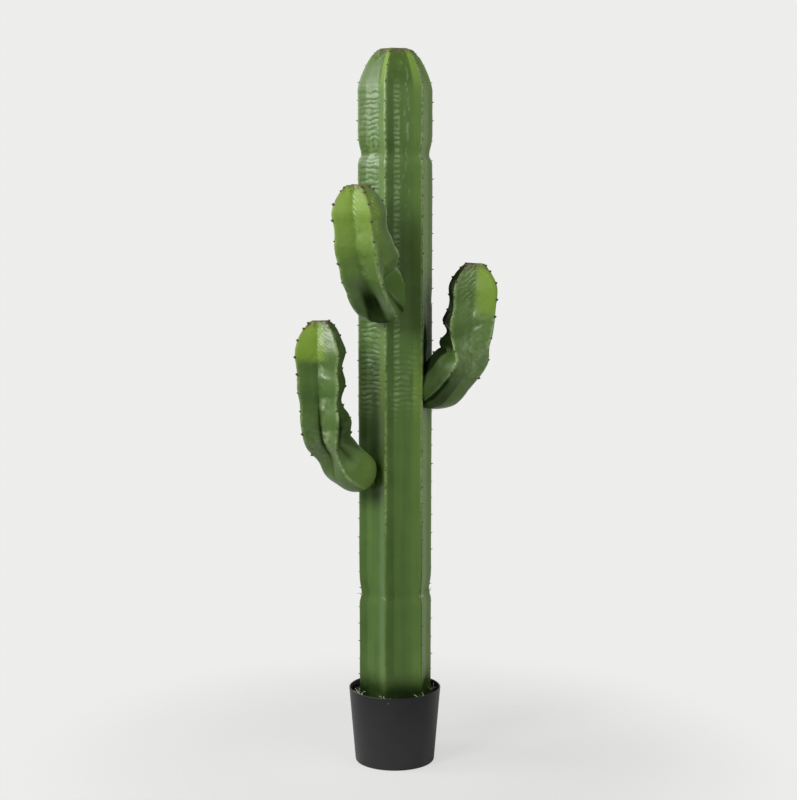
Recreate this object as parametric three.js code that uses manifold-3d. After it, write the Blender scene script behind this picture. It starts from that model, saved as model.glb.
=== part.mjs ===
// Artificial candelabra cactus in a plastic pot: a column with six ribs, three bent arms
// with four ribs each, a tapered pot and the cast cement that fills it. Millimetres, +Z up.
// The origin is at the centre of the pot's flat underside, and the front faces -Y.
import * as THREE from "three";
import { LoftGeometry } from "three/addons/geometries/LoftGeometry.js";
import { mergeVertices } from "three/addons/utils/BufferGeometryUtils.js";
import Module from "manifold-3d";

const GAP = 0.3;
const MERGE_DISTANCE = 1e-4;
const degrees = THREE.MathUtils.degToRad;

const POT = {
  height: 133,
  rimRadius: 81,
  footRadius: 69.8,
  wall: 2.4,
  floor: 3.5,
  footEdge: 1.5,
  sides: 72,
};

const FILLER = {
  top: 121,
  socketDepth: 25,
};

// Azimuths are turned from the front, -Y, towards +X. Each rib has two flanks, turned by flank
// from the side that the rib faces, and between two ribs lies a flat face at the share groove.
const COLUMN = {
  offset: 1.2,
  top: 1247,
  ribs: 6,
  ribAzimuth: degrees(-15),
  crestAtPot: 65,
  crestAbove: 66.2,
  fullCrestHeight: 700,
  groove: 0.8,
  flank: degrees(43),
  waists: [{ height: 304, depth: 4 }, { height: 817, depth: 1.2 }, { height: 1067, depth: 5.5 }],
  waistBelow: 8,
  waistAbove: 19,
  waistLevels: [-24, -16, -8, -4, 0, 7, 14, 21, 28, 38],
  dome: 72,
  domeStep: 8,
  domeTop: 0.5,
  domePower: 1.6,
  pointsPerRib: 8,
};

// Sizes that most arms share.
const ARM = {
  ribs: 4,
  groove: 0.52,
  changeLength: 50,
  belly: 0.03,
  dome: 54,
  domeTop: 0.38,
  domePower: 2.4,
  heel: 34,
  heelEnd: 0.35,
  heelPower: 3,
  heelRound: 66,
  heelShare: 0.9,
  plug: 22,
  outerWave: 0.3,
  innerWave: 0.7,
  foldGain: 1.6,
  foldSpread: 0.45,
  pinchLength: 12,
  bulgeLength: 14,
  creaseLength: 7,
  crevice: 0,
  crevicePlace: 140,
  creviceLength: 50,
  creviceWidth: 3.5,
  pointsPerRib: 8,
  step: 7,
};

// Each arm leaves the column at azimuth and height, heads along heading, climbs at slope for
// the length foot, turns upwards with the radius bend and ends in an upright that leans out
// by lean and sideways by side. Its ribs start at roll and turn by twist towards the foot.
// The outside of the bend has a pinch, the inside a bulge above a crease, and the grooves of
// the left arm have a narrow crevice. The grooves deepen at groovePlace and the crests' waves
// begin at waveStart, each over changeLength.
const ARMS = [
  {
    ...ARM, name: "arm_left",
    azimuth: degrees(-45), start: 58.3, height: 507.4, heading: degrees(-54.5),
    foot: 54.1, slope: degrees(33.8), bend: 124.3, upright: 153, lean: degrees(1.6), side: degrees(-0.2),
    headCrest: 50.4, waistCrest: 42, footCrest: 40,
    roll: degrees(3.1), twist: degrees(-42), twistPlace: 112, twistLength: 120,
    wave: 0.075, waveStart: 158, waveLength: 54.8, firstWave: 54.6,
    pinch: 0.26, pinchPlace: 97, pinchLength: 22, bulge: 0.28, bulgePlace: 142, bulgeLength: 24,
    crease: 0.12, creasePlace: 106, creaseLength: 10, crevice: 5, crevicePlace: 138, creviceLength: 48,
    grooveAtFoot: 0.84, groovePlace: 82,
    heel: 44, heelEnd: 0.18, heelPower: 2.6, heelRound: 60, heelShare: 0.95,
  },
  {
    ...ARM, name: "arm_front",
    azimuth: degrees(-15), start: 50.3, height: 806.1, heading: degrees(-19.5),
    foot: 45.8, slope: degrees(37.3), bend: 161.4, upright: 66.7, lean: degrees(4.4), side: degrees(-4),
    headCrest: 48.4, waistCrest: 50.7, footCrest: 50.4,
    roll: degrees(43.5), twist: degrees(0.5), twistPlace: 97, twistLength: 170,
    wave: 0.062, waveStart: 97, waveLength: 55.2, firstWave: 42.6, outerWave: 0.5, innerWave: 0.1,
    pinch: 0.025, pinchPlace: 92.3, bulge: 0.28, bulgePlace: 118, bulgeLength: 22,
    crease: 0.16, creasePlace: 84, grooveAtFoot: 0.44, groovePlace: 97,
  },
  {
    ...ARM, name: "arm_right",
    azimuth: degrees(83), start: 47, height: 643, heading: degrees(61),
    foot: 42.3, slope: degrees(40), bend: 166, upright: 97, lean: degrees(3.5), side: degrees(2.8),
    headCrest: 52, waistCrest: 47, footCrest: 43,
    roll: degrees(-11.4), twist: degrees(30), twistPlace: 130, twistLength: 40,
    wave: 0.046, waveStart: 110, waveLength: 60.9, firstWave: 39.4,
    pinch: 0.1, pinchPlace: 78, pinchLength: 24, bulge: 0.17, bulgePlace: 165, bulgeLength: 20,
    crease: 0.24, creasePlace: 111, creaseLength: 10,
    grooveAtFoot: 0.76, groovePlace: 110, heel: 48, heelPower: 2.2,
  },
];

const FINISHES = {
  cactus: { color: 0x4a612f, roughness: 0.38, metalness: 0 },
  tips: { color: 0x5c7a35, roughness: 0.36, metalness: 0 },
  pot: { color: 0x2c2c2e, roughness: 0.55, metalness: 0 },
  filler: { color: 0x3a3630, roughness: 0.95, metalness: 0 },
};

const wasm = await Module();
wasm.setup();

// A closed solid from a geometry, with its shared points merged.
function solid(geometry) {
  const bare = new THREE.BufferGeometry();
  bare.setAttribute("position", geometry.attributes.position);
  bare.setIndex(geometry.index);
  const merged = mergeVertices(bare, MERGE_DISTANCE);
  const index = merged.index.array;
  const corners = [];
  for (let i = 0; i < index.length; i += 3) {
    const [a, b, c] = index.slice(i, i + 3);
    if (a !== b && b !== c && c !== a) corners.push(a, b, c);
  }
  return new wasm.Manifold(new wasm.Mesh({
    numProp: 3,
    vertProperties: new Float32Array(merged.attributes.position.array),
    triVerts: new Uint32Array(corners),
  }));
}

function geometryOf(body) {
  const mesh = body.getMesh();
  const geometry = new THREE.BufferGeometry();
  geometry.setAttribute("position", new THREE.BufferAttribute(mesh.vertProperties, 3));
  geometry.setIndex(new THREE.BufferAttribute(mesh.triVerts, 1));
  geometry.computeVertexNormals();
  return geometry;
}

function cut(geometry, tool) {
  return geometryOf(solid(geometry).subtract(solid(tool)));
}

function named(name, geometry, finish) {
  const mesh = new THREE.Mesh(geometry, new THREE.MeshStandardMaterial(finish));
  mesh.name = name;
  return mesh;
}

const clamp01 = (x) => THREE.MathUtils.clamp(x, 0, 1);
const smooth = (x) => THREE.MathUtils.smoothstep(x, 0, 1);

// Rises from 0 to 1 over a length about a place.
const risen = (x, place, length) => smooth((x - place) / length + 0.5);

// Evenly spaced values from start to end, both included.
function evenly(start, end, step) {
  const count = Math.max(1, Math.round(Math.abs(end - start) / step));
  return Array.from({ length: count + 1 }, (_, i) => start + ((end - start) * i) / count);
}

// 1 where x is 0, falling smoothly to 0 on both sides.
const bell = (x) => Math.exp(-x * x);

// Angle from the nearest of the crests.
function crestAngle(turn, ribs) {
  const pitch = (2 * Math.PI) / ribs;
  return Math.abs(turn - pitch * Math.round(turn / pitch));
}

// Share of the full radius near a rounded end, away being the distance from that end.
function domeShare(away, length, end, power) {
  return 1 - (1 - end) * Math.pow(clamp01(1 - away / length), power);
}

function potRadius(z) {
  return POT.footRadius + ((POT.rimRadius - POT.footRadius) * z) / POT.height;
}

// Pot: a thin tapered wall and a flat floor, with a small round at the foot.
function potGeometry() {
  const { height, rimRadius, footRadius, wall, floor, footEdge, sides } = POT;
  const profile = [
    [0, 0],
    [footRadius - footEdge, 0],
    [potRadius(footEdge), footEdge],
    [rimRadius, height],
    [rimRadius - wall, height],
    [potRadius(floor) - wall, floor],
    [0, floor],
  ];
  const lathe = new THREE.LatheGeometry(profile.map(([r, y]) => new THREE.Vector2(r, y)), sides);
  return lathe.rotateX(Math.PI / 2);
}

// Cement filler inside the pot, with a socket in the column's own section.
function fillerGeometry(columnTool) {
  const bottom = POT.floor + GAP;
  const reach = (z) => potRadius(z) - POT.wall - GAP;
  const profile = [[0, bottom], [reach(bottom), bottom], [reach(FILLER.top), FILLER.top], [0, FILLER.top]];
  const lathe = new THREE.LatheGeometry(profile.map(([r, y]) => new THREE.Vector2(r, y)), POT.sides);
  return cut(lathe.rotateX(Math.PI / 2), columnTool);
}

// Crest radius of the column at a height: a slight taper, the waists and the domed top.
function columnCrest(z) {
  const { crestAtPot, crestAbove, fullCrestHeight, waists, waistBelow, waistAbove } = COLUMN;
  const { top, dome, domeTop, domePower } = COLUMN;
  const rise = clamp01((z - POT.height) / (fullCrestHeight - POT.height));
  let crest = THREE.MathUtils.lerp(crestAtPot, crestAbove, rise);
  for (const { height, depth } of waists) {
    crest -= depth * bell((z - height) / (z < height ? waistBelow : waistAbove));
  }
  return crest * domeShare(top - z, dome, domeTop, domePower);
}

// Levels of the column's rings: close together at the waists and in the dome.
function columnHeights() {
  const { fullCrestHeight, waists, waistLevels, top, dome, domeStep } = COLUMN;
  const heights = [FILLER.top - FILLER.socketDepth, FILLER.top, fullCrestHeight];
  for (const { height } of waists) heights.push(...waistLevels.map((level) => height + level));
  heights.push(...evenly(top - dome, top, domeStep));
  return heights.sort((a, b) => a - b);
}

// Share of the crest's radius at a turn round the column: steep flanks between flat faces.
function columnShare(turn) {
  const { ribs, groove, flank } = COLUMN;
  const off = crestAngle(turn, ribs);
  return Math.max(Math.cos(flank) / Math.cos(flank - off), groove / Math.cos(Math.PI / ribs - off));
}

// Column loft, grown by a clearance for the tool that cuts its neighbours.
function columnGeometry(clearance = 0) {
  const { offset, ribs, ribAzimuth, flank, pointsPerRib } = COLUMN;
  const count = ribs * pointsPerRib;
  const grown = clearance / Math.cos(flank);
  const sections = columnHeights().map((z, row) => {
    const level = row === 0 ? z - clearance : z;
    return Array.from({ length: count }, (_, i) => {
      const turn = (2 * Math.PI * i) / count;
      const radius = columnCrest(z) * columnShare(turn) + grown;
      const azimuth = ribAzimuth + turn;
      return new THREE.Vector3(offset + radius * Math.sin(azimuth), -radius * Math.cos(azimuth), level);
    });
  });
  return new LoftGeometry(sections, { capStart: true, capEnd: true });
}

// Length of an arm's bend, and its whole length from where the foot starts.
function armLengths(arm) {
  const sweep = Math.PI / 2 - arm.lean - arm.slope;
  const arc = arm.bend * sweep;
  return { sweep, arc, middle: arm.foot + arc / 2, total: arm.foot + arc + arm.upright };
}

// Centre and axes of an arm's section at the length s along its path.
function armFrame(arm, s) {
  const { sweep, arc } = armLengths(arm);
  const angle = arm.slope + THREE.MathUtils.clamp((s - arm.foot) / arm.bend, 0, sweep);
  const before = Math.min(s, arm.foot);
  const after = Math.max(0, s - arm.foot - arc);
  const reach = before * Math.cos(arm.slope) + arm.bend * (Math.sin(angle) - Math.sin(arm.slope))
    + after * Math.cos(angle);
  const climb = before * Math.sin(arm.slope) + arm.bend * (Math.cos(arm.slope) - Math.cos(angle))
    + after * Math.sin(angle);
  const out = new THREE.Vector3(Math.sin(arm.heading), -Math.cos(arm.heading), 0);
  const across = new THREE.Vector3(Math.cos(arm.heading), Math.sin(arm.heading), 0);
  const centre = new THREE.Vector3(Math.sin(arm.azimuth), -Math.cos(arm.azimuth), 0);
  centre.multiplyScalar(arm.start).setZ(arm.height + climb);
  centre.addScaledVector(out, reach).addScaledVector(across, Math.sin(arm.side) * Math.max(0, climb));
  const outer = out.clone().multiplyScalar(Math.sin(angle));
  outer.z = -Math.cos(angle);
  return { centre, outer, across };
}

// Share of the crest's radius on an arm's straight flanks between crest and groove.
function armShare(arm, off, groove) {
  const half = Math.PI / arm.ribs;
  const flank = Math.sin(half) / (Math.sin(half - off) + Math.sin(off) / groove);
  return flank + arm.belly * Math.sin(off * arm.ribs);
}

// One ring of an arm: four ribs whose crests wave, most on the inside of the bend.
function armSection(arm, s) {
  const { arc, middle, total } = armLengths(arm);
  const { centre, outer, across } = armFrame(arm, s);
  const towardsHead = smooth((s - middle) / (total - arm.dome - middle));
  const towardsWaist = smooth(s / middle);
  const crest = arm.footCrest + (arm.waistCrest - arm.footCrest) * towardsWaist
    + (arm.headCrest - arm.waistCrest) * towardsHead;
  const size = crest * domeShare(total - s, arm.dome, arm.domeTop, arm.domePower)
    * domeShare(s, arm.heel, arm.heelEnd, arm.heelPower);
  const twisted = 1 - risen(s, arm.twistPlace, arm.twistLength);
  const lower = 1 - risen(s, arm.groovePlace, arm.changeLength);
  const groove = THREE.MathUtils.lerp(arm.groove, arm.grooveAtFoot, lower);
  const fold = bell((s - middle) / (arm.foldSpread * arc));
  const belowTip = clamp01((total - s) / arm.dome);
  const phase = (2 * Math.PI * (total - s - arm.firstWave)) / arm.waveLength;
  const waving = risen(s, arm.waveStart, arm.changeLength);
  const swell = arm.wave * belowTip * waving * Math.cos(phase);
  const pinch = arm.pinch * bell((s - arm.pinchPlace) / arm.pinchLength);
  const bulge = arm.bulge * bell((s - arm.bulgePlace) / arm.bulgeLength);
  const crease = arm.crease * Math.exp(-Math.abs(s - arm.creasePlace) / arm.creaseLength);
  const crevice = arm.crevice * bell((s - arm.crevicePlace) / arm.creviceLength);
  const count = arm.ribs * arm.pointsPerRib;
  return Array.from({ length: count }, (_, i) => {
    const turn = (2 * Math.PI * i) / count;
    const angle = turn + arm.roll + arm.twist * twisted;
    const inner = (1 - Math.cos(angle)) / 2;
    const gain = arm.outerWave + arm.innerWave * inner * (1 + arm.foldGain * fold);
    const off = crestAngle(turn, arm.ribs);
    const valley = (Math.PI / arm.ribs - off) * size;
    const share = THREE.MathUtils.lerp(arm.heelShare, armShare(arm, off, groove), smooth(s / arm.heelRound))
      + swell * gain - pinch * (1 - inner) + bulge * inner * inner - crease * inner;
    const radius = size * share - crevice * bell(valley / arm.creviceWidth);
    return centre.clone()
      .addScaledVector(outer, radius * Math.cos(angle))
      .addScaledVector(across, radius * Math.sin(angle));
  });
}

function armLoft(arm, start, end) {
  const sections = evenly(start, end, arm.step).map((s) => armSection(arm, s));
  return new LoftGeometry(sections, { capStart: true, capEnd: true });
}

// An arm is parted in the middle of its bend. Its foot is trimmed clear of the column.
function armMeshes(arm, columnTool) {
  const { middle, total } = armLengths(arm);
  const foot = cut(armLoft(arm, -arm.plug, middle - GAP / 2), columnTool);
  const upper = armLoft(arm, middle + GAP / 2, total);
  return [
    named(`${arm.name}_foot`, foot, FINISHES.cactus),
    named(`${arm.name}_upper`, upper, FINISHES.tips),
  ];
}

const columnTool = columnGeometry(GAP);

const cactus = new THREE.Group();
cactus.add(named("pot", potGeometry(), FINISHES.pot));
cactus.add(named("pot_filler", fillerGeometry(columnTool), FINISHES.filler));
cactus.add(named("column", columnGeometry(), FINISHES.cactus));
for (const arm of ARMS) cactus.add(...armMeshes(arm, columnTool));

export default cactus;
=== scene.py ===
"""Artificial candelabra cactus in a plastic pot: moulded ribbed limbs, sprayed tips and thorns."""

import math
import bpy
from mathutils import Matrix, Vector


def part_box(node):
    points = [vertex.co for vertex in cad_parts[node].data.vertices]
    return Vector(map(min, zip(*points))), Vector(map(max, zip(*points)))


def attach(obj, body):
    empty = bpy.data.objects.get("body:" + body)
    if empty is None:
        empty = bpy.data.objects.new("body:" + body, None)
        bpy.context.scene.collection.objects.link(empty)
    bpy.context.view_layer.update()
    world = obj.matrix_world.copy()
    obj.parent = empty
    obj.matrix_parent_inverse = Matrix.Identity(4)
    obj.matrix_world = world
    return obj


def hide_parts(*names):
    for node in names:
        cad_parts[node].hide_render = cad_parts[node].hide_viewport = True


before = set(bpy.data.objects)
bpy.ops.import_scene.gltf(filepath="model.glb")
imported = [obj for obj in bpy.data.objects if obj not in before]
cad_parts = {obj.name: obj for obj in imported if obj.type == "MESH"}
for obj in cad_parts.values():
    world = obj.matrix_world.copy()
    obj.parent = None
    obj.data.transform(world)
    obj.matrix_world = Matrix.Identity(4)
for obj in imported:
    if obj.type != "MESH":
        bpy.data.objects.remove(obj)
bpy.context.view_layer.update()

from types import SimpleNamespace

import bpy
from bpy.props import CollectionProperty, FloatProperty, FloatVectorProperty, IntProperty, PointerProperty
from mathutils import Vector, noise

bl_info = {
    "name": "Candelabra cactus",
    "version": (1, 0, 0),
    "blender": (4, 5, 0),
    "location": "3D View > Sidebar > Cactus",
    "description": "Builds an artificial candelabra cactus in its pot",
    "category": "Add Mesh",
}

BODY = "root"
MM = 0.001
TURN = 2 * math.pi
WELD = 0.01 * MM
UNIT_SCALES = {"LENGTH": MM, "ROTATION": math.radians(1)}

POT_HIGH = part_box("pot")[1]
FILLER_LOW, FILLER_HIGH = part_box("pot_filler")
COLUMN_LOW, COLUMN_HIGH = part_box("column")

# Sizes that differ from their defaults, in millimetres and degrees.
COLUMN_THORN_SIZES = dict(bead=0.9, spike=3, spacing=31)
ARM_THORN_SIZES = dict(bead=2.1, spike=2, first=2, spacing=22, crowding=1.2, spread=0.6)
WAIST_MOSS_SIZES = dict(level=302, inner=60.5, outer=61.5, tuft_spread=2.5, strands=6, strand=7)

# Sizes of the three arms in the same units. Azimuths turn from the front, -Y, towards +X.
ARMS = {
    "arm_left": dict(
        azimuth=-45, start=58.3, height=507.4, heading=-54.5, foot=54.1, slope=33.8, bend=124.3, upright=153,
        lean=1.6, side=-0.2, head_crest=50.4, waist_crest=42, foot_crest=40,
        roll=3.1, twist=-42, twist_place=112, twist_length=120,
        wave=0.075, wave_start=158, wave_length=54.8, first_wave=54.6,
        pinch=0.26, pinch_place=97, pinch_length=22, bulge=0.28, bulge_place=142, bulge_length=24,
        crease=0.12, crease_place=106, crease_length=10,
        crevice=5, crevice_place=138, crevice_length=48, crevice_shade=0.6,
        groove_at_foot=0.84, groove_place=82,
        heel=44, heel_power=2.6, heel_round=60, heel_share=0.95, heel_end=0.18,
        spray=64, spray_fade=14, spray_side=0.32, inner_shade=0.6, heel_spray=0.3, flank_shade=0.25,
        scuff=1.5, dust=0.6, dust_place=125, dust_length=30, chevron_width=22,
    ),
    "arm_front": dict(
        azimuth=-15, start=50.3, height=806.1, heading=-19.5, foot=45.8, slope=37.3, bend=161.4, upright=66.7,
        lean=4.4, side=-4, head_crest=48.4, waist_crest=50.7, foot_crest=50.4,
        roll=43.5, twist=0.5, twist_place=97, twist_length=170,
        wave=0.062, wave_start=97, wave_length=55.2, first_wave=42.6, outer_wave=0.5, inner_wave=0.1,
        pinch=0.025, pinch_place=92.3, bulge=0.28, bulge_place=118, bulge_length=22,
        crease=0.16, crease_place=84, groove_at_foot=0.44, groove_place=97,
        spray=90, spray_fade=170, spray_side=0.7, heel_shade=1, chevron_width=15, chevron_spacing=8.5,
    ),
    "arm_right": dict(
        azimuth=83, start=47, height=643, heading=61, foot=42.3, slope=40, bend=166, upright=97,
        lean=3.5, side=2.8, head_crest=52, waist_crest=47, foot_crest=43,
        roll=-11.4, twist=30, twist_place=130, twist_length=40,
        wave=0.046, wave_start=110, wave_length=60.9, first_wave=39.4,
        pinch=0.1, pinch_place=78, pinch_length=24, bulge=0.17, bulge_place=165, bulge_length=20,
        crease=0.24, crease_place=111, crease_length=10,
        groove_at_foot=0.76, groove_place=110, heel=48, heel_power=2.2,
        spray=82, spray_fade=34, spray_side=0.2, inner_shade=1, facet_shade=0.8, ridge_shade=0.7,
        dust=0.7, dust_place=120, dust_length=45, chevron_width=26, chevron_spacing=9, chevron_side=1,
    ),
}


# Properties

def length(name, millimetres, description):
    """A size in metres, given in millimetres."""
    return FloatProperty(
        name=name, description=description, default=millimetres * MM, unit="LENGTH", precision=4)


def angle(name, degrees, description):
    return FloatProperty(name=name, description=description, default=math.radians(degrees), subtype="ANGLE")


def share(name, value, description):
    return FloatProperty(name=name, description=description, default=value, precision=3)


def linear(code):
    """Linear RGBA of an sRGB hex colour."""
    values = [int(code[i:i + 2], 16) / 255 for i in (1, 3, 5)]
    return (*(v / 12.92 if v <= 0.04045 else ((v + 0.055) / 1.055) ** 2.4 for v in values), 1.0)


def colour(name, code, description):
    return FloatVectorProperty(
        name=name, description=description, default=linear(code), size=4, subtype="COLOR", min=0, max=1)


class ColumnSizes(bpy.types.PropertyGroup):
    """Sizes of the column: its ribs, waists, dome and the relief of its skin."""
    offset: length("Offset", 1.2, "Distance of the column's axis to the right of the pot's axis")
    base: length("Base", COLUMN_LOW.z / MM + 1, "Level where the skin starts, inside the filler")
    top: length("Top", COLUMN_HIGH.z / MM, "Level of the column's top")
    ribs: share("Ribs", 6, "Number of ribs")
    rib_azimuth: angle("Rib azimuth", -15, "Side that the first rib faces, turned from the front")
    crest_at_pot: length("Crest at the pot", 65, "Radius of the ribs' crests at the pot's rim")
    crest_above: length("Crest above", 66.2, "Radius of the crests higher up")
    full_crest: length("Full crest", 700, "Level from which the crests have their full radius")
    groove: share("Groove", 0.8, "Radius between two ribs, as a share of the crest")
    flank: angle("Flank", 43, "Turn of a rib's flank from the side that the rib faces")
    flank_width: length("Flank width", 14, "Width of a rib's flank, from the crest to the face beside it")
    fillet: share("Fillet", 0.03, "Rounding between a flank and the face beside it, as a share of the crest")
    roundness: share("Roundness", 0.985, "Sharpness of the crests, 1 being sharp")
    upper_waist: length("Upper waist", 1067, "Level of the upper waist")
    upper_waist_depth: length("Upper waist depth", 5.5, "Depth of the upper waist")
    middle_waist: length("Middle waist", 817, "Level of the faint middle waist")
    middle_waist_depth: length("Middle waist depth", 1.2, "Depth of the middle waist")
    lower_waist: length("Lower waist", 304, "Level of the lower waist")
    lower_waist_depth: length("Lower waist depth", 4, "Depth of the lower waist")
    waist_length: length("Waist length", 8, "Half the height of a waist below its narrowest level")
    waist_rise: length("Waist rise", 19, "Half the height of a waist above that level")
    dome: length("Dome", 72, "Height of the domed top")
    dome_top: share("Dome top", 0.5, "Radius where the dome ends, as a share of the crest")
    dome_power: share("Dome power", 1.6, "How late the dome turns in")
    cap: length("Cap", 33, "Length of the skin from the dome's end to the middle of the top")
    crown: length("Crown", 3, "Drop of the top's rounded edge")
    dip: length("Dip", 7, "Depth of the hollow in the middle of the top")
    ripple: length("Ripple", 1.8, "Height of the ripples across the faces")
    broad_calm: share("Broad calm", 0.55, "How much fainter the ripples are on the faces with many of them")
    ripple_start: length("Ripple start", 600, "Level from which the skin is rippled")
    ripple_end: length("Ripple end", 40, "Distance from the top where the ripples end")
    ripple_spacing: length("Ripple spacing", 9, "Distance between two ripples")
    ripple_width: length("Ripple width", 11, "Width of the ripples on the faces with few of them")
    ripple_belt: length("Ripple belt", 675, "Level of the belt where those faces are rippled too")
    ripple_belt_width: length("Ripple belt width", 50, "Half the height of that belt")
    crinkle: length("Crinkle", 1.8, "Height of the leathery crinkles on the upper faces")
    crinkle_size: length("Crinkle size", 12, "Size of those crinkles")
    lump: length("Lump", 1.4, "Height of the slow unevenness of the skin")
    lump_size: length("Lump size", 55, "Size of that unevenness")
    spray: length("Spray", 110, "Length of the yellow-green spray below the top")
    scuff: share("Scuff", 0.6, "Strength of the pale upright scuffs near the top")
    scuff_size: length("Scuff size", 5, "Width of those scuffs")
    scuff_start: length("Scuff start", 930, "Level from which the skin is scuffed")
    plain_crest: share("Plain crest", 0.1, "How plain the crests are near the pot")
    # Painted shade: the dark paint on the right flanks and on the dome's faces.
    flank_dark: share("Flank dark", 0.3, "How dark the paint is on the ribs' right flanks")
    dome_dark: share("Dome dark", 0.4, "How dark the paint is on the faces of the dome")
    # Painted light: the spray on the right side stands in for the white backdrop that side mirrors.
    side_spray: share("Side spray", 0.5, "Strength of the yellow-green spray on the right side")
    # Painted shadows: the dark paint behind and beside each arm is the shade that arm casts on the column.
    left_dark: length("Left dark", 565, "Level of the dark paint behind the left arm")
    left_dark_height: length("Left dark height", 62, "Half the height of that paint")
    left_dark_azimuth: angle("Left dark azimuth", 315, "Side of that paint, turned from the front")
    left_dark_strength: share("Left dark strength", 0.8, "How dark that paint is")
    right_dark: length("Right dark", 735, "Level of the dark paint behind the right arm")
    right_dark_height: length("Right dark height", 75, "Half the height of that paint")
    right_dark_azimuth: angle("Right dark azimuth", 75, "Side of that paint, turned from the front")
    right_dark_strength: share("Right dark strength", 1, "How dark that paint is")
    front_dark: length("Front dark", 890, "Level of the dark paint beside the front arm")
    front_dark_height: length("Front dark height", 100, "Half the height of that paint")
    front_dark_azimuth: angle("Front dark azimuth", 20, "Side of that paint, turned from the front")
    front_dark_strength: share("Front dark strength", 0.35, "How dark that paint is")
    scar: length("Scar", 16, "Length of the brown scar on the top's edge")
    rim_knob: length("Rim knob", 10, "Height of the knobs on the top's rim")


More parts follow.
